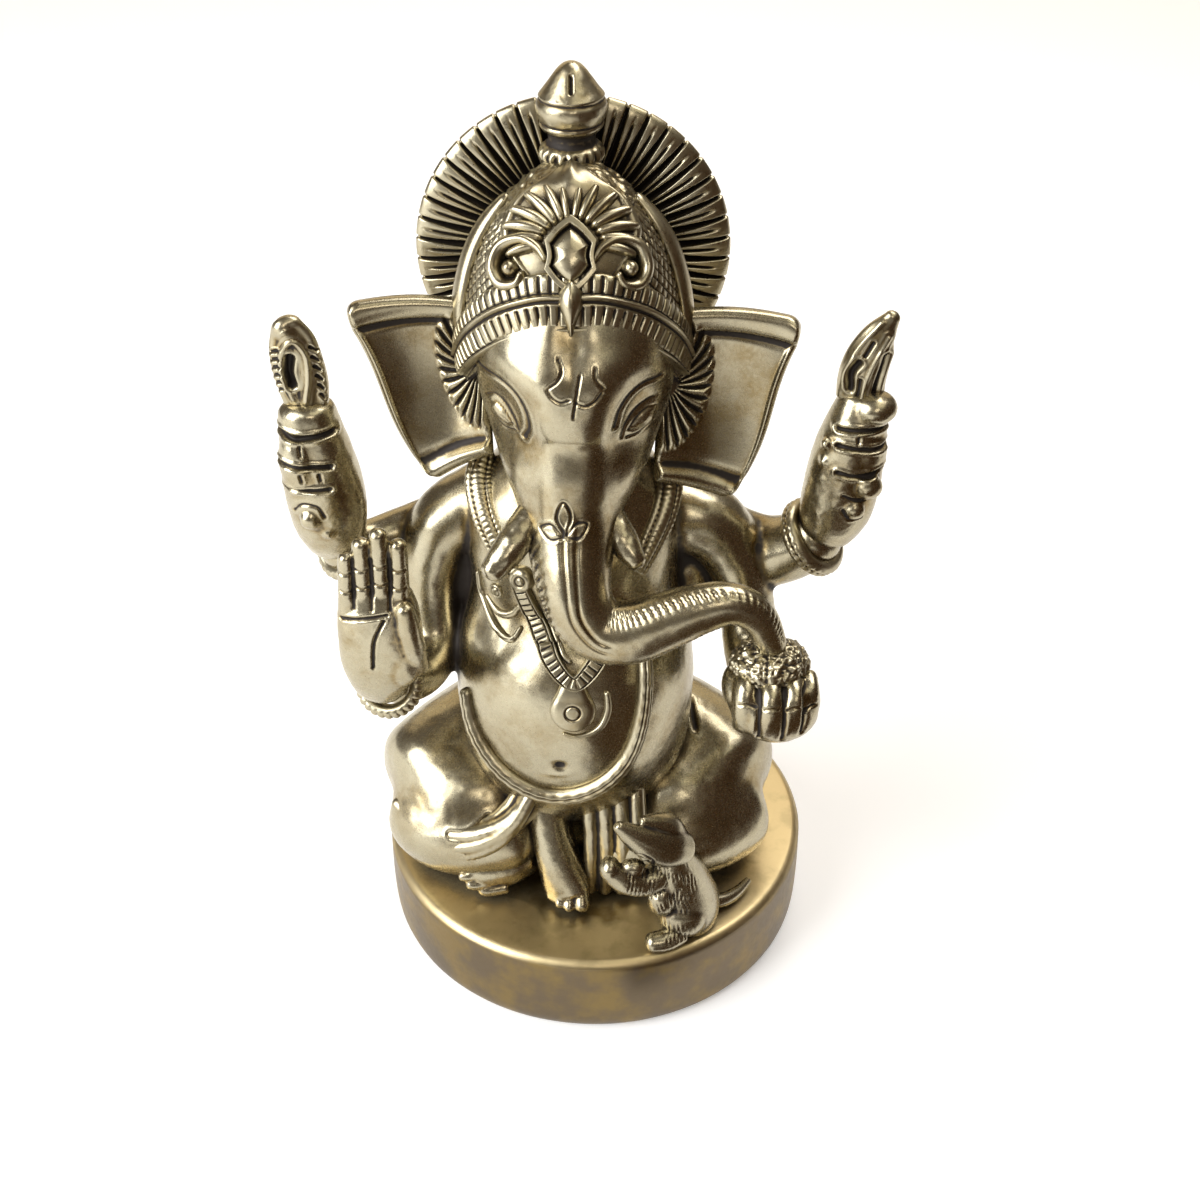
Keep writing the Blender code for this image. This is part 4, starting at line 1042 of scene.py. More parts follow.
def ribbon(face, places, relief=None, spacing=0.3, across=24, domed=4.0, blunt=1.0, sink=0.9):
    """A strip laid on a surface. A place is (u, v, half width, thickness). Each point of the section is
    moved sideways from the smooth middle line, found again on the surface, and lifted by the thickness
    times a domed profile plus the relief, a function of the length along and the share across."""
    surface, locate = face
    fine = curve_at(places, np.linspace(0, len(places) - 1, 40 * len(places)))
    middle = surface(fine[:, 0], fine[:, 1])
    run = np.concatenate([[0], np.cumsum(np.linalg.norm(np.diff(middle, axis=0), axis=1))])
    length = run[-1]
    count = max(8, int(length / spacing))
    eased = length * (0.5 - 0.5 * np.cos(np.linspace(0, np.pi, count)))
    s = eased * 0.35 + np.linspace(0, length, count) * 0.65
    u, v, wide, thick = (np.interp(s, run, fine[:, k]) for k in range(4))
    middle = surface(u, v)
    along = unit(np.gradient(middle, s, axis=0))
    normal = unit(surface(u, v, 1.0) - middle)
    side = unit(np.cross(along, normal))
    close = np.minimum(s, length - s)
    ends = np.sqrt(np.clip(1 - (1 - np.clip(close / (blunt * wide), 0, 1)) ** 2, 0, 1))
    share = np.sin(np.linspace(-np.pi / 2, np.pi / 2, across))
    share = 0.5 * share + 0.5 * np.linspace(-1, 1, across)
    height = (thick * ends)[:, None] * (1 - np.abs(share) ** domed) ** 0.5
    if relief is not None:
        height = height + relief(s[:, None], share[None], length) * (ends[:, None] * (1 - share**8))
    under = np.linspace(1, -1, 5)[1:-1]
    full = np.concatenate([share, under])
    lift = np.concatenate([height, np.full((count, 3), -sink)], axis=1)
    spots = middle[:, None] + side[:, None] * ((wide * np.maximum(ends, 0.02))[:, None] * full)[..., None]
    grid = surface(*locate(spots), lift)
    tips = [np.broadcast_to(surface(u[k], v[k], -0.3 * sink), (1, len(full), 3)) for k in (0, -1)]
    return closed_skin(np.concatenate([tips[0], grid, tips[1]]))


def local_spots(face, u, v, right, up):
    """The (u, v) of points so many millimetres right of and above a place, in its tangent plane."""
    surface, locate = face
    middle = surface(u, v)
    normal = unit(surface(u, v, 1.0) - middle)
    sideways = unit(np.cross(normal, Z_AXIS)) * -1
    upward = np.cross(sideways, normal) * -1
    if upward[2] < 0:
        upward = -upward
    if sideways[0] < 0:
        sideways = -sideways
    right, up = np.asarray(right, float)[..., None], np.asarray(up, float)[..., None]
    return locate(middle + right * sideways + up * upward)


def boss(face, u, v, outline, profile, rings=30, sides=120, sink=0.9):
    """A button on a surface: rings grow from its middle to the outline, a radius for each angle from the
    upward direction, lifted by the profile, a function of the share of the radius and the angle."""
    angle = np.linspace(0, 2 * np.pi, sides, endpoint=False)
    share = np.linspace(0, 1, rings)
    radius = share[:, None] * outline(angle)[None]
    height = profile(share[:, None], angle[None]) + 0 * radius
    radius = np.vstack([radius, radius[-1:], radius[-1:] * 0.0])
    height = np.vstack([height, np.full((1, sides), -sink), np.full((1, sides), -sink)])
    places = local_spots(face, u, v, radius * np.sin(angle), radius * np.cos(angle))
    return closed_skin(face[0](*places, height))


def half_round(share, power=2.0):
    """A round's height at a share of its half width: the root of 1 less the share's power."""
    return np.sqrt(np.clip(1 - np.abs(share) ** power, 0, 1))


def teeth(s, pitch, sharp=0.35):
    """Rounded teeth `pitch` apart along s, between -1 in the gaps and 0 on the teeth."""
    return -ramp(np.abs((s / pitch) % 1 - 0.5) * 2, 1 - sharp, 0.95)


def band_relief(s, v, length):
    """The headband: a row of teeth, a double rail, a second row of teeth, and a thin rail below."""
    upper = ramp(v, -0.93, -0.84) * (1 - ramp(v, -0.38, -0.30))
    lower = ramp(v, 0.02, 0.10) * (1 - ramp(v, 0.66, 0.74))
    rails = 0.55 * bell(v + 0.22, 0.075) + 0.35 * bell(v + 0.97, 0.06) + 0.45 * bell(v - 0.86, 0.07)
    gaps = -0.5 * bell(v + 0.07, 0.05) - 0.5 * bell(v - 0.75, 0.035) - 0.4 * bell(v + 0.34, 0.03)
    above = 0.75 * teeth(s - length / 2, 1.75) * upper
    below = 0.85 * teeth(s - length / 2, 2.0) * lower
    return above + below + rails + gaps


def mirrored(places):
    """The same places on the figure's other side."""
    return [(-u, *rest) for u, *rest in places]


def crown_band():
    """The headband, a ribbon from ear to ear that is widest over the forehead."""
    half = [(-84, 148.6, 2.8, 1.2), (-72, 153.2, 4.0, 1.7), (-56, 160.4, 4.9, 2.1), (-38, 166.5, 5.4, 2.3),
            (-18, 170.0, 5.6, 2.4)]
    places = half + [(0, 170.6, 5.6, 2.4)] + mirrored(half)[::-1]
    return ribbon(CROWN_FACE, places, band_relief, 0.22, 76, domed=10)


def lappets():
    """The two strips that run up the crown's sides from behind the ears."""
    way = [(-92, 184, 1.4, 1.0), (-88, 178, 2.8, 2.0), (-84, 170, 3.2, 2.2), (-80, 162, 3.0, 2.0),
           (-77, 155.5, 1.8, 1.2)]
    return [ribbon(CROWN_FACE, places, None, 0.4, 20, domed=2) for places in (way, mirrored(way))]


JEWEL_Z = 178.2


def crest_leaf():
    """The plate behind the plumes: a raised border round a sunk field, and a ridge rising to its point."""
    places = [(0, 171.5, 9.0, 1.2), (0, 175, 12.4, 1.4), (0, 179.5, 13.9, 1.5), (0, 183.4, 12.6, 1.5),
              (0, 186.4, 10.2, 1.6), (0, 188.4, 6.8, 1.6), (0, 189.8, 3.2, 1.5), (0, 190.4, 0.9, 1.0)]

    def relief(s, v, length):
        field = ramp(1 - np.abs(v), 0.09, 0.17) * (1 - ramp(s, 0.62 * length, 0.76 * length))
        ridge = ramp(s, 0.60 * length, 0.85 * length)
        return -0.95 * field + 0.8 * ridge * bell(v, 0.3)

    return ribbon(CREST_FACE, places, relief, 0.26, 80, domed=8, sink=4.0)


def plume(start, bend, near, far, wide):
    """One curved plume: it leaves the jewel at the angle `start` from upright and bends as it runs out."""
    r = np.linspace(near, far, 7)
    share = (r - near) / (far - near)
    angle = np.radians(start + bend * share)
    degrees, z = local_spots(CREST_FACE, 0, JEWEL_Z + 0.8, r * np.sin(angle), r * np.cos(angle))
    swell_out = wide * (0.45 + 0.75 * np.sin(np.pi * np.clip(0.15 + 0.75 * share, 0, 1)))
    places = np.stack([degrees, z, swell_out, 1.2 + 1.3 * np.sin(np.pi * (0.12 + 0.7 * share))], -1)
    return ribbon(CREST_FACE, places, None, 0.22, 20, domed=2, blunt=1.2, sink=1.0)


def plumes():
    """The crest's plate and its fan of plumes, seven to a side."""
    made = [crest_leaf()]
    for way in (-1, 1):
        for start, bend, far, wide in (
            (6, 3, 11.0, 0.8), (16, 8, 12.2, 1.0), (28, 14, 12.9, 1.1), (41, 19, 13.2, 1.15),
            (54, 22, 13.2, 1.15),
            (67, 22, 12.8, 1.1), (80, 20, 12.2, 1.0),
        ):
            made.append(plume(way * start, way * bend, 5.4, far, wide))
    return joined(made)


def jewel():
    """A six-sided frame, pointed above and below, round a domed six-sided stone."""

    def outline(angle):
        turn = (angle + np.pi / 6) % (np.pi / 3) - np.pi / 6
        radius = 4.9 * np.cos(np.pi / 6) / np.cos(np.abs(turn) - np.pi / 6)
        return radius * (1 + 0.5 * np.abs(np.cos(angle)) ** 2)

    def profile(share, angle):
        frame_top = 2.9 * ramp(1 - share, 0.0, 0.07) - 1.5 * bell(share - 0.70, 0.04)
        stone = 1.6 + 2.4 * half_round(np.minimum(share / 0.68, 1), 2.6)
        return np.where(share < 0.68, stone, frame_top)

    return boss(CREST_FACE, 0, JEWEL_Z, outline, profile, rings=60, sides=180)


SCROLL_LINE = [
    (7.4, 1.6, 0.8), (4.8, 4.0, 1.15), (1.0, 5.0, 1.35), (-2.6, 3.2, 1.45), (-3.4, -0.6, 1.45),
    (-1.2, -3.4, 1.4),
    (2.0, -2.8, 1.1), (2.9, -0.2, 0.8),
]


def scroll(side):
    """A curled ribbon round a knob, beside the jewel."""
    way = 1 if side == "right" else -1
    centre = -11.2 if side == "right" else 10.8
    line = np.array(SCROLL_LINE)
    degrees, z = local_spots(CREST_FACE, centre, 175.8, way * line[:, 0], line[:, 1])
    places = np.stack([degrees, z, line[:, 2], np.full(len(line), 2.6)], -1)
    curl = ribbon(CREST_FACE, places, None, 0.22, 20, domed=2, sink=3.5)
    knob = boss(CREST_FACE, centre, 175.6, lambda angle: 1.7 + 0 * angle,
                lambda share, angle: 2.9 * half_round(share), 16, 48, sink=3.0)
    return joined([curl, knob])


def crest_drop():
    """The drop that hangs from the jewel over the headband."""
    places = [(0, 175.2, 1.0, 2.4), (0, 174.2, 1.5, 3.0), (0, 172.6, 2.5, 3.8), (0, 170.8, 2.6, 4.0),
              (0, 168.6, 1.8, 3.7),
              (0, 166.6, 1.0, 3.1), (0, 164.8, 0.4, 2.4)]
    return ribbon(CREST_FACE, places, lambda s, v, n: 0.35 * (1 - np.abs(v) * 2), 0.2, 28, domed=2.4)


FINIAL = [
    (0, 186), (4.8, 186), (5.3, 187.8), (6.1, 188.9), (6.35, 190.2), (5.9, 191.5), (4.9, 192.3),
    (4.6, 193.2), (4.8, 194.3),
    (5.9, 195.2), (6.3, 195.9), (6.1, 196.5), (6.5, 197.2), (6.95, 198.6), (6.85, 200.0), (6.3, 201.0),
    (6.45, 201.5), (6.1, 202.0),
    (5.3, 203.0), (4.2, 204.5), (3.1, 206.0), (2.0, 207.1), (0.9, 207.7), (0, 207.8),
]


def finial():
    """The knob on the crown: its profile turned, with beads round its neck and a slit at its tip."""
    grid, _, _ = turned(FINIAL, (AXIS_X, 8), 220, 0.2)
    skin = closed_skin(grid)
    x, y, z = (skin.points - [AXIS_X, 8, 0]).T
    turn = np.arctan2(x, -y)
    beads = 0.9 * bell(z - 190.2, 1.0) * (np.abs(np.cos(turn * 9)) - 0.7)
    tall = ramp(z, 202.8, 203.4) * (1 - ramp(z, 205.8, 206.4))
    slit = -0.75 * bell(np.abs(x), 0.38) * (y < 0) * tall
    skin = displaced(skin, (beads + slit) * (np.hypot(x, y) > 0.5))
    return cast_unevenly(skin, 0.06, 2.0, 31)


# ---------------------------------------------------------------- jewellery


def necklace():
    """The necklace: a toothed ribbon between two rails, and a thin inner cord."""
    places = [(-17, 110.5, 1.5, 1.2), (-14.8, 104.5, 1.9, 1.4), (-12, 98, 2.1, 1.5), (-8.8, 92.4, 2.0, 1.5),
              (-4.6, 88.8, 1.7, 1.5),
              (-1.2, 90.8, 2.0, 1.5), (2.4, 95.6, 2.1, 1.5), (6.4, 103, 1.8, 1.3)]

    def relief(s, v, length):
        rails = 0.35 * bell(np.abs(v) - 0.88, 0.09) - 0.5 * bell(np.abs(v) - 0.66, 0.06)
        return rails + 0.6 * teeth(s, 1.45, 0.3) * (1 - ramp(np.abs(v), 0.5, 0.6))

    inner = [(-11.5, 107, 0.7, 0.9), (-9.8, 100, 0.7, 1.0), (-7.0, 94.4, 0.7, 1.0), (-4.8, 92.4, 0.6, 0.9)]
    return joined([ribbon(TORSO_FACE, places, relief, 0.22, 40, domed=8),
                   ribbon(TORSO_FACE, inner, None, 0.3, 14, domed=2)])


def pendant():
    """The pendant: a disc drawn up to a point, with a ring on it, in a curved wire."""

    def outline(angle):
        return 4.9 + 3.4 * np.exp(-((np.minimum(angle, 2 * np.pi - angle) / 0.5) ** 2))

    def profile(share, angle):
        ring = bell(share * outline(angle) - 1.55, 0.24)
        return 1.5 * half_round(share, 5) - 0.28 * ring

    plate = boss(TORSO_FACE, -4.6, 82.6, outline, profile, 50, 140)
    cradle = [(2.6, 86.6, 0.7, 0.9), (2.8, 82.0, 0.9, 1.0), (0.8, 78.2, 0.8, 1.0), (-3.6, 76.6, 0.6, 0.9),
              (-7.0, 77.4, 0.5, 0.7)]
    return joined([plate, ribbon(TORSO_FACE, cradle, None, 0.3, 14, domed=2)])


def disc_on_torso(x, z, radius, height, power, ring, rings, sides):
    """A flat-topped disc: half round to a high power, less a bell curve at the ring's share of it."""
    place, depth = ring

    def profile(share, angle):
        return height * half_round(share, power) - depth * bell(share - place, 0.12)

    return boss(TORSO_FACE, x, z, lambda angle: radius + 0 * angle, profile, rings, sides)


def chest_scroll():
    """A disc, a smaller ringed disc and two crescents on the figure's right breast."""
    disc = disc_on_torso(-15.2, 108, 2.9, 1.9, 3, (0.35, 0.4), 30, 80)
    small = disc_on_torso(-21.0, 102.6, 1.8, 0.8, 4, (0.6, 0.3), 20, 60)
    arcs = (
        [(-25.0, 105, 0.6, 0.8), (-24.4, 99.5, 0.8, 1.0), (-21.6, 95.2, 1.0, 1.1), (-17.8, 94.2, 0.8, 1.0),
         (-15.4, 97, 0.5, 0.8)],
        [(-23.4, 99.8, 0.5, 0.6), (-20.8, 97.8, 0.9, 0.9), (-17.6, 98.6, 1.0, 1.0),
         (-15.6, 101.4, 0.6, 0.8)],
    )
    return joined([disc, small, *(ribbon(TORSO_FACE, arc, None, 0.3, 14, domed=2) for arc in arcs)])


THREAD = [
    (9.4, 101, 1.6, 1.4), (10.6, 92, 1.7, 1.9), (10.6, 82, 1.8, 2.1), (8.6, 72, 1.9, 2.3),
    (4.8, 65, 2.0, 2.4), (-1.6, 59.6, 2.1, 2.5),
    (-9.6, 57.4, 2.1, 2.5), (-17.4, 59.4, 2.1, 2.5), (-23.2, 64, 2.0, 2.4), (-27.0, 70.5, 1.9, 2.2),
    (-28.6, 78, 1.6, 1.8),
]


def sacred_thread():
    """The thread over the belly: a ribbon with two grooves along it."""

    def relief(s, v, length):
        return -0.5 * bell(np.abs(v) - 0.36, 0.08) + 0.06 * np.sin(s * 2.1)

    return ribbon(TORSO_FACE, THREAD, relief, 0.35, 36, domed=2, sink=1.5)


COLLAR = [(-23.5, -3, 128.5, 2.6, 1.6), (-24.6, -7, 124.6, 3.1, 1.7), (-23.4, -12, 119.6, 3.1, 1.7),
          (-20.8, -16, 114.6, 2.9, 1.6),
          (-18.0, -19.4, 109.5, 2.2, 1.3)]


def collar(side):
    """A collar over the shoulder: a tube of strands, each cut across by a sine of its length."""
    way = 1 if side == "right" else -1
    rows = [(x if way > 0 else 2 * AXIS_X - x, *rest) for x, *rest in COLLAR]
    grid, full, angle = tube(rows, Y_AXIS, 110, 70)
    skin = closed_skin(grid)
    s = np.concatenate([[0], np.repeat(np.arange(len(full) - 2) * 0.25, len(angle)), [0]])
    t = np.concatenate([[0], np.tile(angle, len(full) - 2), [0]])
    strands = np.abs(np.sin(3 * t))
    cuts = np.abs(np.sin(s * np.pi / 1.25 + 0.8 * strands))
    return displaced(skin, 0.4 * (strands**0.5 - 1) + 0.16 * (cuts**0.6 - 1))


def hoop(centre, axis, radius, thick, beads, bead_height=0.3, ridges=1):
    """A bracelet: a round section turned about its axis, with beads or ridges on its outer side."""
    axis = unit(np.array(axis, float))
    one = unit(np.cross(axis, X_AXIS if abs(axis[0]) < 0.8 else Y_AXIS))
    two = np.cross(axis, one)
    around = np.linspace(0, 2 * np.pi, 260, endpoint=False)
    section = np.linspace(0, 2 * np.pi, 40, endpoint=False)
    a, t = np.meshgrid(around, section, indexing="ij")
    out = np.cos(a)[..., None] * one + np.sin(a)[..., None] * two
    bump = bead_height * (np.abs(np.cos(a * beads / 2)) ** 0.6 - 0.8) * np.clip(np.cos(ridges * t), 0, 1)
    bump = bump - (0.35 * bell((t + np.pi) % (2 * np.pi) - np.pi, 0.22) if ridges > 1 else 0)
    r = thick + bump
    aside, along = radius + r * np.cos(t), 1.15 * r * np.sin(t)
    return ring_skin(np.array(centre) + out * aside[..., None] + axis * along[..., None])


BRACELETS = {
    "front_right_bracelet": ((-44, -29.4, 86.8), (-0.2, -0.8, 0.56), 6.0, 1.6, 26, 0.5, 1),
    "front_left_bracelet": ((37.2, -25.4, 83.6), (0.1, -0.85, 0.45), 6.8, 1.5, 0, 0.0, 2),
    "rear_right_bracelet": ((-55.6, -4, 105.3), (-0.6, -0.5, 0.42), 6.0, 1.7, 24, 0.55, 1),
    "rear_left_bracelet": ((48, -3.1, 107), (0.66, -0.34, 0.66), 7.4, 1.8, 30, 0.25, 2),
}


# ---------------------------------------------------------------- hands and what they hold


def palm_hand(grain):
    """The raised hand: a palm, four upright jointed fingers and the thumb along its edge."""
    palm = [(-44.2, -31.5, 88, 4.8, 4.0), (-44.8, -33.6, 91, 6.4, 4.6), (-44.4, -35.2, 97, 8.2, 5.0),
            (-43.8, -35.8, 104, 8.7, 4.8),
            (-43.8, -35.4, 110, 8.5, 4.2), (-44.2, -34.8, 114.5, 7.6, 3.2)]
    parts = [shell(palm, spacing=0.6, rounded=(0.3, 0.3))]
    for base, tip, top, r in ((-50.0, -49.2, 124.6, 1.85), (-46.5, -46.0, 127.8, 2.0),
                              (-42.8, -42.4, 130.0, 2.05), (-39.2, -38.6, 127.6, 1.95)):
        z = np.linspace(109, top - 1.2, 6)
        t = (z - 109) / (top - 110.2)
        finger = np.stack([base + (tip - base) * t, -36.0 + 1.1 * t - 0.5 * t * t, z, r * (1.06 - 0.14 * t),
                           1.1 * r * (1 - 0.15 * t)], -1)
        parts.append(shell(finger, spacing=0.4, rounded=(0.5, 0.9)))
    parts.append(shell([(-37.4, -35.6, 97, 3.2, 3.0), (-37.2, -37.6, 103, 2.8, 2.6),
                        (-37.6, -38.4, 108.5, 2.5, 2.3), (-38.0, -38.2, 112.6, 2.0, 1.8)],
                       spacing=0.4, rounded=(0.6, 0.9)))
    parts.append(closed_skin(ball((-40.0, -37.0, 99), (4.6, 3.2, 6.4))))
    parts.append(closed_skin(ball((-48.4, -36.8, 101), (3.4, 2.4, 7.0))))
    skin = fused(parts, grain, 6)
    creases = [[(-51.2, 110.2), (-47, 111.0), (-41.6, 111.9)],
               [(-42.2, 110.8), (-44.4, 106.2), (-45.2, 99.6)]]
    skin = stroke(skin, creases, 0.36, 0.6)
    joints = []
    for x, z in ((-49.6, 116.6), (-46.3, 117.6), (-42.6, 118.4), (-38.9, 117.4)):
        for up in (0, 4.2):
            joints.append([(x - 1.3, z + up), (x, z + up - 0.3), (x + 1.3, z + up)])
    skin = stroke(skin, joints, 0.3, 0.32)
    gaps = [[(x, 113), (x + 0.3, 119), (x + 0.4, 124)] for x in (-48.3, -44.6, -40.9)]
    return cast_unevenly(stroke(skin, gaps, 0.35, 0.4, lip=0), 0.07, 2.5, 5)


def bowl_hand(grain):
    """The hand that holds the sweets: a cupped fist whose fingers wrap round its front."""
    palm = [(37.2, -26, 84.6, 6.2, 5.8), (37.2, -30, 87, 8.8, 7.2), (37.4, -34, 88.6, 9.8, 8.0),
            (37.8, -39, 89.4, 9.6, 7.8), (38.0, -43, 89.0, 8.2, 6.6)]
    parts = [shell(palm, Z_AXIS, 0.6, (0.5, 0.6))]
    for x, r, y in ((31.2, 2.6, -42.0), (36.2, 2.9, -43.8), (41.1, 2.5, -43.2), (44.6, 1.9, -41.0)):
        parts.append(shell([(x, y + 3, 95.8, r * 0.85, r * 0.85), (x, y, 94.4, r, r),
                            (x, y - 1.2, 90.6, r, r), (x, y - 0.4, 87.0, r * 0.95, r),
                            (x - 0.3, y + 2.6, 84.6, r * 0.8, r * 0.8)], X_AXIS, 0.4, (0.8, 0.8)))
    parts.append(closed_skin(ball((29.4, -36.5, 92), (2.8, 5.4, 4.4))))
    skin = fused(parts, grain, 16)
    tips = ((31.2, 93.4), (36.2, 93.8), (41.1, 93.4), (44.6, 92.4))
    nails = [[(x - 1.5, z), (x, z + 0.35), (x + 1.5, z)] for x, z in tips]
    skin = stroke(skin, nails, 0.3, 0.35)
    gaps = [[(33.6, 97), (33.5, 92), (33.9, 85.5)], [(38.8, 96.6), (38.9, 92), (38.8, 85.5)],
            [(43.0, 96), (43.1, 92), (42.8, 87)]]
    return cast_unevenly(stroke(skin, gaps, 0.5, 0.7, lip=0), 0.07, 2.5, 6)


def sweets():
    """A heap of crumbly sweets: an ellipsoid roughened by lumps of three sizes."""
    skin = closed_skin(ball((36.4, -35.8, 97.6), (8.2, 7.2, 4.6), 150, 220))
    p = skin.points
    lumps = 0.55 * np.abs(noise(p, 2.6, 41)) + 0.35 * np.abs(noise(p, 1.2, 42)) + 0.2 * noise(p, 0.6, 43)
    return displaced(skin, lumps * 1.3 - 0.3)


def rear_right_hand(grain):
    """A closed hand from its back: one smooth mass, with the fingers parted by cuts across it."""
    palm = [(-57.2, -6.2, 108.6, 5.8, 5.4), (-56.8, -7.8, 113, 7.6, 6.6), (-56.9, -9, 121, 8.5, 7.6),
            (-57.5, -9.4, 130, 7.9, 7.2),
            (-58.3, -9.4, 137, 6.9, 6.4), (-58.8, -9.2, 142.2, 6.0, 5.4)]
    extra = [((-59.4, -16.0, 119.8), (2.3, 1.8, 2.3)), ((-56.2, -15.6, 116.0), (1.2, 1.0, 1.2)),
             ((-60.6, -12.2, 132), (4.6, 5.2, 9.0))]
    skin = fused([shell(palm, spacing=0.6, rounded=(0.4, 0.5)),
                  *(closed_skin(ball(*spot)) for spot in extra)], grain, 14)
    cuts = [[(-65.5, 139.6), (-60, 139.0), (-53.2, 139.4)], [(-65.5, 133.8), (-60, 133.0), (-54.0, 132.4)],
            [(-65.5, 127.4), (-60, 127.2), (-54.6, 127.4)]]
    skin = stroke(skin, cuts, 0.5, 0.95, lip=0.35)
    marks = [[(-59.8, 137.4), (-59.6, 135.6)], [(-60.2, 131.2), (-60, 129.6)],
             [(-56.4, 131.0), (-56.2, 129.6)]]
    marks += [[(-62.9, 121.4), (-60.8, 123.6), (-57.6, 123.4), (-56.2, 120.8)]]
    return cast_unevenly(stroke(skin, marks, 0.35, 0.4), 0.08, 2.5, 7)


def rear_left_hand(grain):
    """A closed hand with a ring, its fingers' ends in a row down its inner side."""
    palm = [(50.6, -4, 110.2, 6.4, 6), (52.2, -4.8, 116, 7.9, 7.0), (53.0, -5.4, 124, 8.1, 7.2),
            (53.8, -5.6, 132, 7.4, 6.8), (55.0, -5.6, 139, 6.2, 5.6),
            (55.6, -5.4, 142.4, 5.4, 4.8)]
    extra = [((57.4, -11.6, 125.4), (3.0, 2.6, 3.0)), ((55.0, -12.0, 119.6), (2.2, 1.6, 2.1)),
             ((57.6, -7.6, 142.0), (4.8, 4.6, 3.4)),
             ((56.4, -7.4, 131.6), (4.8, 5.0, 6.5))]
    extra += [((48.0, -9.6, z), (1.2, 1.4, 1.2)) for z in (134.6, 130.4, 126.4, 122.0, 117.8)]
    skin = fused([shell(palm, spacing=0.6, rounded=(0.4, 0.5)),
                  *(closed_skin(ball(*spot)) for spot in extra)], grain, 10)
    cuts = [[(50.2, 138.2), (55, 138.4), (61, 138.2)], [(50.4, 134.8), (55, 134.4), (61, 134.0)],
            [(50.6, 128.8), (55, 128.2), (60.8, 129.2)]]
    skin = stroke(skin, cuts, 0.48, 0.85, lip=0.35)
    marks = [[(52.2, 123.4), (54.6, 122.4), (57.0, 122.2)], [(52.4, 119.8), (54.0, 117.4), (56.6, 117.6)],
             [(54.4, 136.9), (54.4, 135.8)]]
    return cast_unevenly(stroke(skin, marks, 0.35, 0.45), 0.08, 2.5, 8)


def rear_right_emblem():
    """A looped emblem: a flat teardrop with a roped border, a raised loop and a slit."""
    rows = [(-58.2, -8.8, 141.6, 3.6, 2.6), (-58.6, -9, 146, 4.8, 2.7), (-59.2, -9, 151.5, 5.1, 2.7),
            (-59.8, -9, 157.5, 4.5, 2.5), (-60.6, -9, 161.6, 2.7, 2.0)]
    skin = closed_skin(tube(rows, Y_AXIS, 110, 110, (0.4, 0.7))[0])
    border = [(-62.4, 144.8), (-63.9, 151.4), (-64.0, 157.4), (-62.2, 161.8), (-59.4, 162.8),
              (-56.6, 160.2), (-55.2, 155), (-54.4, 149.4), (-54.8, 144.6)]
    skin = stroke(skin, [border], 0.7, -0.6, lip=0.0)
    skin = stroke(skin, [[(-60.6, 146), (-62.2, 151), (-62.0, 156), (-59.6, 158.8), (-57.4, 156),
                          (-57.2, 151), (-58.2, 145.6)]], 0.55, -0.8, lip=-0.25)
    skin = stroke(skin, [[(-60.6, 149.4), (-61.0, 152.2), (-60.4, 155.2)]], 0.75, 1.5)
    cuts = [[(-56.3 + 0.25 * k, 157.4 - 2.1 * k), (-54.9 + 0.1 * k, 156.4 - 2.1 * k)] for k in range(6)]
    cuts += [[(-64.6, 156 - 1.7 * k), (-62.9, 156.6 - 1.7 * k)] for k in range(6)]
    skin = stroke(skin, cuts, 0.32, 0.6)
    return swell(skin, [(-61.3, 160.9, 1.7, 1.7, 0, 1.2)])


def rear_left_emblem():
    """A pointed emblem: a leaf with a long opening, a raised rib and small cut triangles."""
    rows = [(55.0, -5.2, 141, 4.4, 2.8), (54.6, -5.2, 146, 4.9, 2.9), (55.4, -5.2, 151.5, 4.8, 2.7),
            (57.2, -5.2, 156.8, 3.6, 2.2), (59.6, -5.2, 161, 1.7, 1.4)]
    skin = closed_skin(tube(rows, Y_AXIS, 110, 110, (0.4, 0.9))[0])
    skin = stroke(skin, [[(57.2, 144.8), (57.9, 149), (58.9, 153.4)],
                         [(52.2, 146.4), (52.0, 149.6), (53.4, 152)]], 0.62, 1.3)
    skin = stroke(skin, [[(54.6, 143.6), (55.2, 148), (56.8, 152.8), (59.0, 157.4)]], 0.6, -0.7, lip=-0.3)
    skin = stroke(skin, [[(53.6, 144.4), (54.0, 148.4)], [(54.6, 153.6), (56.0, 156.4)]], 0.35, 0.6)
    return stroke(skin, [[(50.2, 144), (50.8, 149.6), (53.4, 155.4), (57.4, 160.4)],
                         [(59.4, 144), (60.4, 149), (60.8, 154.6)]], 0.5, -0.35, lip=0)


# ---------------------------------------------------------------- feet and cloth


def left_foot(grain):
    """The hanging foot, with its toes splayed on the plinth's top."""
    rows = [(-12.2, -19, 48, 5.6, 5.6), (-11.4, -21.4, 44, 5.4, 5.6), (-10.0, -24.8, 38, 5.0, 5.4),
            (-8.6, -27.6, 33, 5.2, 5.2),
            (-7.2, -30.4, 28.6, 5.4, 4.4), (-6.2, -32.4, 26, 5.2, 3.2)]
    parts = [shell(rows, spacing=0.6)]
    for x, y, z, r in ((-10.2, -33.0, 25.6, 1.35), (-8.2, -34.8, 24.8, 1.4), (-6.0, -35.6, 24.4, 1.45),
                       (-3.0, -35.2, 24.6, 2.0)):
        parts.append(shell([(x * 0.9 - 0.7, y + 3.8, z + 3.0, r, r), (x, y + 0.9, z + 0.7, r, r),
                            (x, y, z, r * 0.9, r * 0.9)], spacing=0.4, rounded=(0.4, 0.9)))
    parts.append(closed_skin(ball((-13.4, -25.4, 40.4), (1.8, 1.6, 2.2))))
    return cast_unevenly(stand_on_plinth(fused(parts, grain, 3)), 0.06, 2.5, 9)


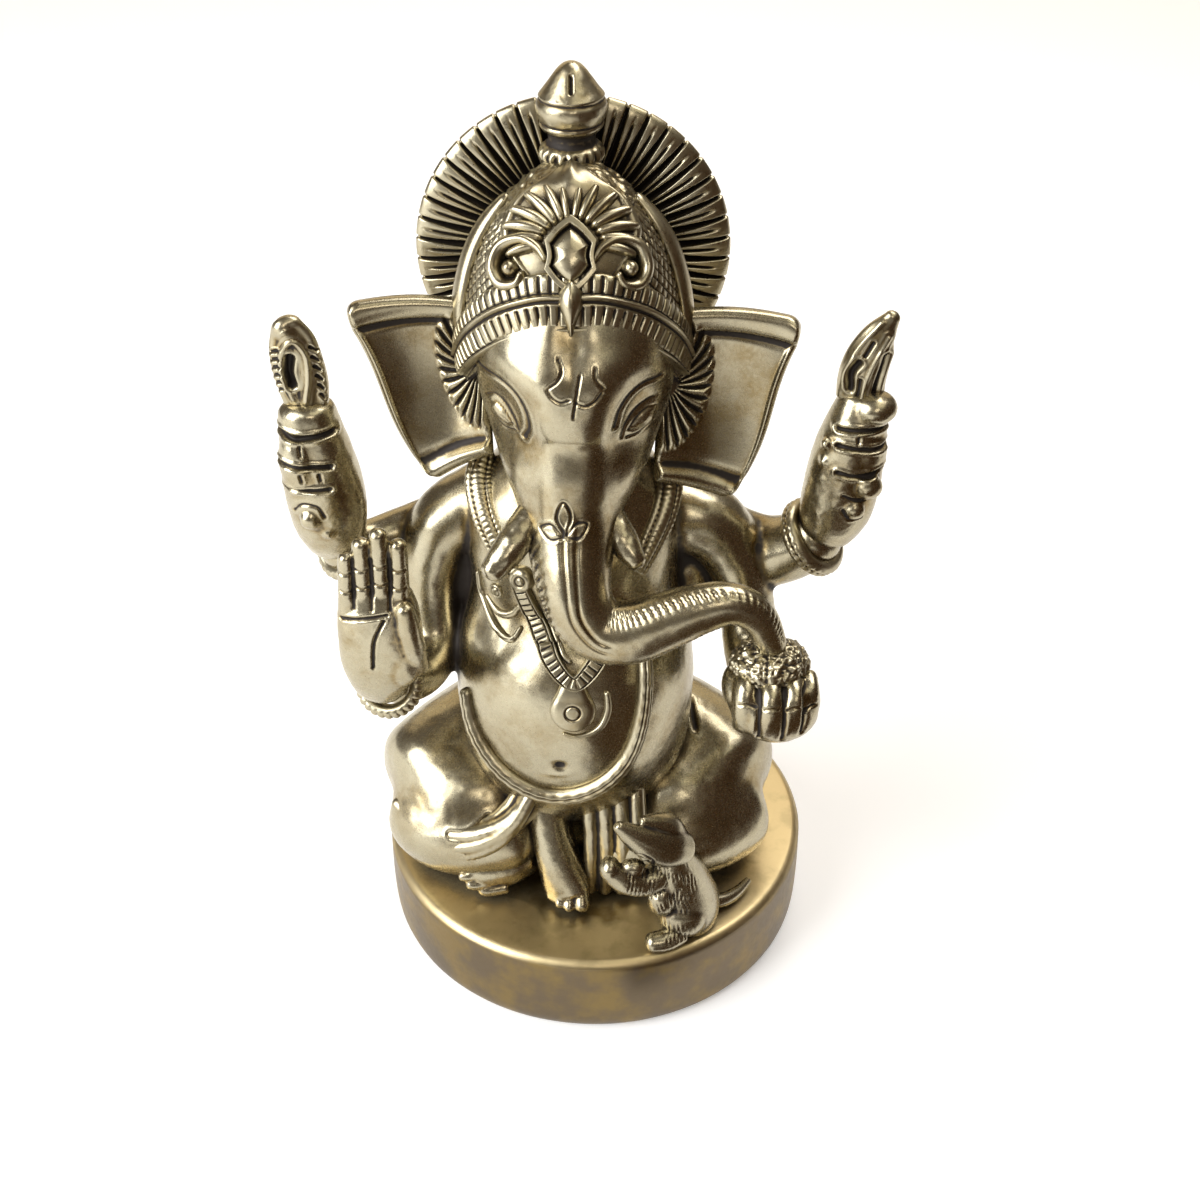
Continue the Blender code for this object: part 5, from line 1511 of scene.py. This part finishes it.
def right_foot(grain):
    """The tucked foot, its toes pointing to the figure's right."""
    rows = [(-16.5, -24.5, 29.5, 3.8, 4.4), (-20.5, -26.2, 28.6, 4.2, 5.0), (-25.5, -27.4, 27.8, 3.8, 5.0),
            (-29, -27.6, 27.4, 3.0, 4.2)]
    parts = [shell(rows, Z_AXIS, 0.6)]
    for x, y, z, r in ((-32.4, -27.6, 30.4, 1.3), (-31.2, -29.4, 28.4, 1.35), (-29.4, -30.2, 26.4, 1.4),
                       (-26.4, -30.4, 24.8, 1.6)):
        parts.append(shell([(x + 5.5, y + 0.6, z + 0.4, r, r), (x + 1.5, y, z, r, r),
                            (x, y, z, r * 0.9, r * 0.9)], Z_AXIS, 0.4, (0.4, 0.9)))
    return cast_unevenly(stand_on_plinth(fused(parts, grain, 3)), 0.06, 2.5, 10)


HEM = [(-46.5, -17, 36.5), (-40.5, -23, 35.5), (-31.5, -27.5, 37), (-23.5, -29, 41), (-18, -28.5, 46.5),
       (-14.6, -26.5, 52.5)]


def hem(grain):
    """Three rounded bands of cloth side by side round the ankle."""
    parts = []
    for step, out, r in ((-3.1, 0.2, 1.9), (0.3, 0.4, 1.75), (3.5, -0.4, 1.6)):
        rows = [(x + 0.3 * step * (k / 5), y - out, z + step * (1 - 0.5 * k / 5), r * 1.15, r * 1.4)
                for k, (x, y, z) in enumerate(HEM)]
        parts.append(shell(rows, Y_AXIS, 0.6, (0.7, 0.7)))
    backing = [(x + 0.6, y + 2.6, z, 4.2, 2.4) for x, y, z in HEM]
    parts.append(shell(backing, Y_AXIS, 0.6))
    skin = fused(parts, grain * 1.1, 3)
    across = skin.points @ np.array([0.5, 0.0, 0.87])
    low_part = 1 - ramp(skin.points[:, 2], 35, 38)
    pressed = 0.16 * teeth(skin.points[:, 0] * 0.9 + 0.3 * across, 1.5, 0.5) * low_part
    return stand_on_plinth(cast_unevenly(displaced(skin, pressed), 0.1, 3, 12))


def pleats(grain):
    """The folds of cloth that hang below the belly, side by side."""
    parts = []
    for k, (x, r) in enumerate(((-1.2, 1.9), (2.4, 2.1), (6.2, 2.2), (9.8, 2.0))):
        parts.append(shell([(x - 0.6, -20.5, 58, r, r), (x, -25.2 - 0.3 * k, 50, r, r * 1.1),
                            (x + 0.4, -28.2 - 0.2 * k, 42, r, r * 1.1),
                            (x + 0.3, -29.4, 32, r * 0.9, r), (x, -29.2, 24, r * 0.8, r * 0.9)],
                           spacing=0.6))
    return stand_on_plinth(cast_unevenly(fused(parts, grain * 1.2, 3), 0.1, 3, 13))


# ---------------------------------------------------------------- mouse


def hatched(skin, direction, pitch, depth, mask=1.0, seed=0):
    """Cuts fine fur lines across a skin: teeth along a direction, broken up by noise."""
    along = skin.points @ unit(np.array(direction, float)) + 0.5 * noise(skin.points, 3, seed)
    broken = ramp(noise(skin.points, 1.6, seed + 1), -0.5, 0.1)
    return displaced(skin, depth * teeth(along, pitch, 0.45) * broken * mask)


def mouse_body(grain):
    """The mouse's body: a leaning egg with a haunch, its fur cut in short strokes."""
    back = [(21.5, -35.5, 22.6, 7.0, 7.4), (21.6, -36.4, 28, 7.4, 7.8), (19.6, -37.8, 36, 6.4, 6.8),
            (17.4, -38.8, 43.0, 5.2, 5.4), (17.2, -38.8, 46.6, 4.2, 4.4)]
    parts = [shell(back, spacing=0.6, rounded=(0.2, 0.5)),
             closed_skin(ball((20.2, -41.6, 27.8), (5.6, 4.4, 5.4))),
             closed_skin(ball((15.2, -42.6, 34.6), (3.4, 3.4, 4.4)))]
    skin = stand_on_plinth(fused(parts, grain, 4))
    x, y, z = skin.points.T
    belly = ramp(-y, 41, 43) * (1 - bell(z - 30.5, 1.8)) * (1 - ramp(x, 21, 24))
    return hatched(skin, (1, 0.3, 0.15), 0.95, 0.28, belly, 51)


def mouse_head(grain):
    """The mouse's head: a cone with one round ear and an eye ringed by a cut line."""
    rows = [(19.8, -38.2, 46.4, 3.8, 4.0), (16.2, -39.8, 48.4, 4.9, 4.8), (12.0, -41.4, 51.2, 4.1, 3.9),
            (8.0, -42.4, 54.6, 2.7, 2.5), (5.0, -42.8, 57.6, 1.3, 1.2)]
    parts = [shell(rows, Y_AXIS, 0.5)]
    ear = [(19.6, -37.0, 48.6, 1.6, 2.6), (17.6, -37.6, 52.4, 1.8, 3.2), (14.0, -38.8, 55.0, 1.5, 2.4),
           (10.4, -40.4, 57.0, 0.7, 1.1)]
    parts.append(shell(ear, Y_AXIS, 0.4))
    skin = fused(parts, grain, 3)
    skin = swell(skin, [(10.6, 48.4, 1.9, 1.5, -40, -0.5), (10.6, 48.5, 1.1, 0.9, -40, 0.9)])
    return stroke(skin, [[(8.2, 50.2), (9.4, 46.6), (12.2, 46.4), (12.8, 49), (10.6, 50.8), (8.4, 50.4)]],
                  0.3, 0.4)


def mouse_paws(grain):
    """The forelegs, held together over a sweet."""
    arm = [(14.6, -41.8, 41.0, 3.2, 3.2), (10.6, -43.6, 40.6, 3.0, 3.0), (6.8, -44.4, 42.2, 2.8, 3.0),
           (4.2, -44.4, 44.2, 2.2, 2.6)]
    parts = [shell(arm, Z_AXIS, 0.5), closed_skin(ball((3.4, -43.6, 45.2), (2.4, 2.9, 3.0))),
             closed_skin(ball((8.6, -43.0, 44.8), (3.0, 2.2, 2.4)))]
    skin = fused(parts, grain, 3)
    mask = ramp(skin.points[:, 0], 6.5, 8.0)
    return hatched(skin, (1, 0, -0.25), 0.95, 0.3, mask, 53)


def mouse_foot(grain):
    """The hind foot, flat on the plinth."""
    rows = [(19.5, -43.4, 24.4, 2.8, 2.6), (16.4, -45.4, 24.2, 2.7, 2.6), (13.2, -46.2, 24.2, 2.4, 2.2)]
    skin = stand_on_plinth(fused([shell(rows, Z_AXIS, 0.5, (0.5, 0.8))], grain, 2))
    return hatched(skin, (1, 0.2, 0), 1.0, 0.2, ramp(skin.points[:, 0], 15.5, 17), 55)


def mouse_tail():
    """The tail, a thin tube that lies on the plinth."""
    rows = [(26, -34.4, 25.2, 1.9, 1.9), (30, -33.2, 24.4, 1.7, 1.7), (33.6, -30.4, 24.0, 1.4, 1.4),
            (36.5, -26.5, 23.8, 0.9, 0.9)]
    return stand_on_plinth(closed_skin(tube(rows, Z_AXIS, 70, 40)[0]))


# ---------------------------------------------------------------- operators


class PlinthOperator(bpy.types.Operator):
    """Turns the round plinth"""

    bl_idname = "figurine.plinth"
    bl_label = "Plinth"

    def execute(self, context):
        add_casting("plinth_casting", plinth_skin(), ["plinth"], "plinth_brass", 2.0)
        return {"FINISHED"}


class BodyOperator(bpy.types.Operator):
    """Fuses the torso, hips and arms"""

    bl_idname = "figurine.body"
    bl_label = "Body and arms"

    def execute(self, context):
        grain = context.scene.figurine_shapes.body_grain / MM
        add_casting("body_casting", body_skin(grain), ["torso", "seat", *ARMS], reach=2.5)
        return {"FINISHED"}


class LegsOperator(bpy.types.Operator):
    """Models the folded legs"""

    bl_idname = "figurine.legs"
    bl_label = "Legs"

    def execute(self, context):
        for side in LEGS:
            add_casting(side + "_leg_casting", leg_skin(side), [side + "_thigh", side + "_shin"], reach=2.2)
        return {"FINISHED"}


class HeadOperator(bpy.types.Operator):
    """Models the head with its trunk, tusks and ears"""

    bl_idname = "figurine.head"
    bl_label = "Head"

    def execute(self, context):
        add_casting("head_casting", head_skin(), ["head", "trunk"], reach=1.1)
        for name in TUSKS:
            add_casting(name + "_casting", tusk_skin(name), [name])
        for side in LEGS:
            add_casting(side + "_ear_casting", ear_skin(side), [side + "_ear"], reach=1.2)
        return {"FINISHED"}


class CrownOperator(bpy.types.Operator):
    """Turns the crown and spreads the halo behind it"""

    bl_idname = "figurine.crown"
    bl_label = "Crown and halo"

    def execute(self, context):
        add_casting("crown_casting", crown_skin(), ["crown_dome"], "ornament_brass", 0.9)
        petals = context.scene.figurine_shapes.petals
        add_casting("halo_casting", halo_skin(petals), ["halo"], "ornament_brass", 1.2)
        return {"FINISHED"}


class OrnamentsOperator(bpy.types.Operator):
    """Lays the band, crest, jewel, scrolls, lappets and finial on the crown"""

    bl_idname = "figurine.ornaments"
    bl_label = "Crown ornaments"

    def execute(self, context):
        made = {"crown_band": crown_band(), "crest_plumes": plumes(), "crown_jewel": jewel(),
                "crest_drop": crest_drop(), "finial": finial()}
        made["right_lappet"], made["left_lappet"] = lappets()
        for side in LEGS:
            made[side + "_scroll"] = scroll(side)
        for name, skin in made.items():
            add_casting(name + "_casting", skin, [name], "ornament_brass", 0.8)
        return {"FINISHED"}


class HandsOperator(bpy.types.Operator):
    """Models the four hands and what they hold"""

    bl_idname = "figurine.hands"
    bl_label = "Hands"

    def execute(self, context):
        grain = context.scene.figurine_shapes.hand_grain / MM
        hands = {"front_right_hand": palm_hand, "front_left_hand": bowl_hand,
                 "rear_right_hand": rear_right_hand, "rear_left_hand": rear_left_hand}
        for name, make in hands.items():
            add_casting(name + "_casting", make(grain), [name], reach=1.2)
        for name, make in {"sweet_heap": sweets, "rear_right_emblem": rear_right_emblem,
                           "rear_left_emblem": rear_left_emblem}.items():
            add_casting(name + "_casting", make(), [name], "ornament_brass", 0.9)
        return {"FINISHED"}


class JewelleryOperator(bpy.types.Operator):
    """Lays the necklace, collars, sacred thread and bracelets"""

    bl_idname = "figurine.jewellery"
    bl_label = "Jewellery"

    def execute(self, context):
        made = {"necklace": necklace(), "pendant": pendant(), "chest_scroll": chest_scroll(),
                "sacred_thread": sacred_thread()}
        for side in LEGS:
            made[side + "_collar"] = collar(side)
        for name, sizes in BRACELETS.items():
            made[name] = hoop(*sizes)
        for name, skin in made.items():
            add_casting(name + "_casting", skin, [name], "ornament_brass", 0.9)
        return {"FINISHED"}


class FeetOperator(bpy.types.Operator):
    """Models the feet and the cloth round them"""

    bl_idname = "figurine.feet"
    bl_label = "Feet and cloth"

    def execute(self, context):
        grain = context.scene.figurine_shapes.hand_grain / MM
        add_casting("left_foot_casting", left_foot(grain), ["left_foot"], reach=1.2)
        add_casting("right_foot_casting", right_foot(grain), ["right_foot"], reach=1.2)
        add_casting("right_hem_casting", hem(grain), ["right_hem"], "ornament_brass", 1.4)
        add_casting("waist_pleats_casting", pleats(grain), ["waist_pleats"], "ornament_brass", 1.4)
        return {"FINISHED"}


class MouseOperator(bpy.types.Operator):
    """Models the mouse that holds a sweet"""

    bl_idname = "figurine.mouse"
    bl_label = "Mouse"

    def execute(self, context):
        grain = context.scene.figurine_shapes.hand_grain / MM
        for name, make in {"mouse_body": mouse_body, "mouse_head": mouse_head, "mouse_paws": mouse_paws,
                           "mouse_foot": mouse_foot}.items():
            add_casting(name + "_casting", make(grain), [name], "mouse_brass", 0.9)
        add_casting("mouse_tail_casting", mouse_tail(), ["mouse_tail"], "mouse_brass")
        return {"FINISHED"}


class StageOperator(bpy.types.Operator):
    """Lays the floor and sets the lights and the camera"""

    bl_idname = "figurine.stage"
    bl_label = "Stage"

    def execute(self, context):
        settings = context.scene.figurine_stage
        add_floor(tuple(settings.floor))
        add_lights(settings.window)
        add_camera(context.scene)
        return {"FINISHED"}


def flat_card(name, corners, colour, glow=0.0):
    """A four-cornered card that is part of the stage."""
    mesh = bpy.data.meshes.new(name)
    mesh.from_pydata([tuple(c) for c in corners], [], [(0, 1, 2, 3)])
    material = bpy.data.materials.new(name)
    material.use_nodes = True
    shader = material.node_tree.nodes["Principled BSDF"]
    shader.inputs["Base Color"].default_value = (*colour, 1)
    shader.inputs["Roughness"].default_value = 0.9
    shader.inputs["Specular IOR Level"].default_value = 0.1
    if glow:
        shader.inputs["Emission Color"].default_value = (*colour, 1)
        shader.inputs["Emission Strength"].default_value = glow
    mesh.materials.append(material)
    card = bpy.data.objects.new(name, mesh)
    bpy.context.scene.collection.objects.link(card)
    return card


def add_floor(colour):
    """A wide pale floor at the plinth's foot."""
    reach = 2.5
    low = float(BASE[2])
    around = ((-reach, -reach), (reach, -reach), (reach, reach), (-reach, reach))
    flat_card("floor", [(x, y, low) for x, y in around], colour, 0.34)


def add_card_aside(name, centre, size, colour, glow=0.0):
    """An upright card of `size` metres, which faces the figurine."""
    spot = Vector(centre)
    aim = (Vector((0, 0, 0.1)) - spot).normalized()
    side = aim.cross(Vector((0, 0, 1))).normalized() * size[0] / 2
    up = side.cross(aim).normalized() * size[1] / 2
    corners = [spot - side - up, spot + side - up, spot + side + up, spot - side + up]
    card = flat_card(name, corners, colour, glow)
    card.visible_camera = False
    return card


def only_in_reflections(card):
    """Keeps a card out of sight, so that just the polished metal shows it."""
    card.visible_camera = False
    card.visible_diffuse = False
    card.visible_shadow = False


def add_cloth_aside(name, low, high, colour):
    """A dark cloth lying a little above the floor, which only the polished metal sees."""
    height = float(BASE[2]) + 4 * MM
    around = ((low[0], low[1]), (high[0], low[1]), (high[0], high[1]), (low[0], high[1]))
    corners = [(x, y, height) for x, y in around]
    only_in_reflections(flat_card(name, corners, colour))


def add_area(name, place, size, power, colour, target=(0, 0, 0.1)):
    """A rectangular soft light of `size` metres, aimed at the target."""
    light = bpy.data.lights.new(name, "AREA")
    light.shape = "RECTANGLE"
    light.size, light.size_y = size
    light.energy = power
    light.color = colour
    obj = bpy.data.objects.new(name, light)
    obj.location = place
    obj.rotation_euler = (Vector(target) - Vector(place)).to_track_quat("-Z", "Y").to_euler()
    bpy.context.scene.collection.objects.link(obj)


def add_lights(power):
    """A window to the viewer's left, weak lights in front and above, and cards for the brass to reflect."""
    world = bpy.data.worlds.new("studio")
    world.use_nodes = True
    world.node_tree.nodes["Background"].inputs["Color"].default_value = (0.60, 0.50, 0.40, 1)
    world.node_tree.nodes["Background"].inputs["Strength"].default_value = 0.26
    bpy.context.scene.world = world
    add_area("window", (-0.85, -0.45, 0.62), (0.8, 1.0), power, (0.96, 0.98, 1.0))
    add_area("fill", (0.15, -0.9, 0.75), (0.3, 0.25), 0.06 * power, (1, 0.93, 0.82))
    add_area("top", (0.3, 0.3, 1.0), (0.8, 0.45), 0.34 * power, (1, 0.97, 0.93))
    add_card_aside("brown_wall", (0.55, -0.30, 0.18), (0.8, 0.5), (0.05, 0.028, 0.014))
    only_in_reflections(add_card_aside("brown_card", (0.20, -0.12, 0.15), (0.42, 0.26),
                                       (0.05, 0.028, 0.014)))
    only_in_reflections(add_card_aside("ceiling", (0.38, -0.33, 1.05), (0.7, 0.6), (0.62, 0.60, 0.50), 0.9))
    add_cloth_aside("brown_cloth", (0.012, -0.42), (0.42, -0.06), (0.07, 0.040, 0.018))
    add_card_aside("back_wall", (0, 1.1, 0.6), (1.8, 0.9), (0.62, 0.52, 0.36), 0.55)
    bpy.context.scene.view_settings.view_transform = "Standard"


def add_camera(scene):
    """The camera looks down at 36 degrees, a little to the figure's left of the plinth's centre."""
    target = BASE + np.array([1.2, 0, 87.5]) * MM
    pitch, away = math.radians(36), 370 * MM
    camera = bpy.data.cameras.new("camera")
    camera.sensor_width = 36
    camera.lens = 48.456
    camera.clip_start = 0.01
    obj = bpy.data.objects.new("camera", camera)
    obj.location = Vector(target) + Vector((0, -math.cos(pitch), math.sin(pitch))) * away
    obj.rotation_euler = (math.pi / 2 - pitch, 0, 0)
    scene.collection.objects.link(obj)
    scene.camera = obj


OPERATORS = (
    PlinthOperator, BodyOperator, LegsOperator, FeetOperator, HeadOperator, CrownOperator,
    OrnamentsOperator,
    HandsOperator, JewelleryOperator, MouseOperator, StageOperator,
)


class FigurinePanel(bpy.types.Panel):
    bl_label = "Brass Figurine"
    bl_idname = "VIEW3D_PT_brass_figurine"
    bl_space_type = "VIEW_3D"
    bl_region_type = "UI"
    bl_category = "Brass Figurine"

    def draw(self, context):
        for group in ("figurine_brass", "figurine_shapes", "figurine_stage"):
            settings = getattr(context.scene, group)
            box = self.layout.box()
            for key in settings.bl_rna.properties.keys():
                if key not in {"rna_type", "name"}:
                    box.prop(settings, key)
        for operator in OPERATORS:
            self.layout.operator(operator.bl_idname)


GROUPS = {"figurine_brass": BrassSettings, "figurine_shapes": ShapeSettings,
          "figurine_stage": StageSettings}


def register():
    for kind in (*GROUPS.values(), *OPERATORS, FigurinePanel):
        bpy.utils.register_class(kind)
    for name, group in GROUPS.items():
        setattr(bpy.types.Scene, name, PointerProperty(type=group))


def unregister():
    for name in GROUPS:
        delattr(bpy.types.Scene, name)
    for kind in reversed((*GROUPS.values(), *OPERATORS, FigurinePanel)):
        bpy.utils.unregister_class(kind)


def main():
    register()
    for operator in OPERATORS:
        group, name = operator.bl_idname.split(".")
        getattr(getattr(bpy.ops, group), name)()


if __name__ == "__main__":
    main()
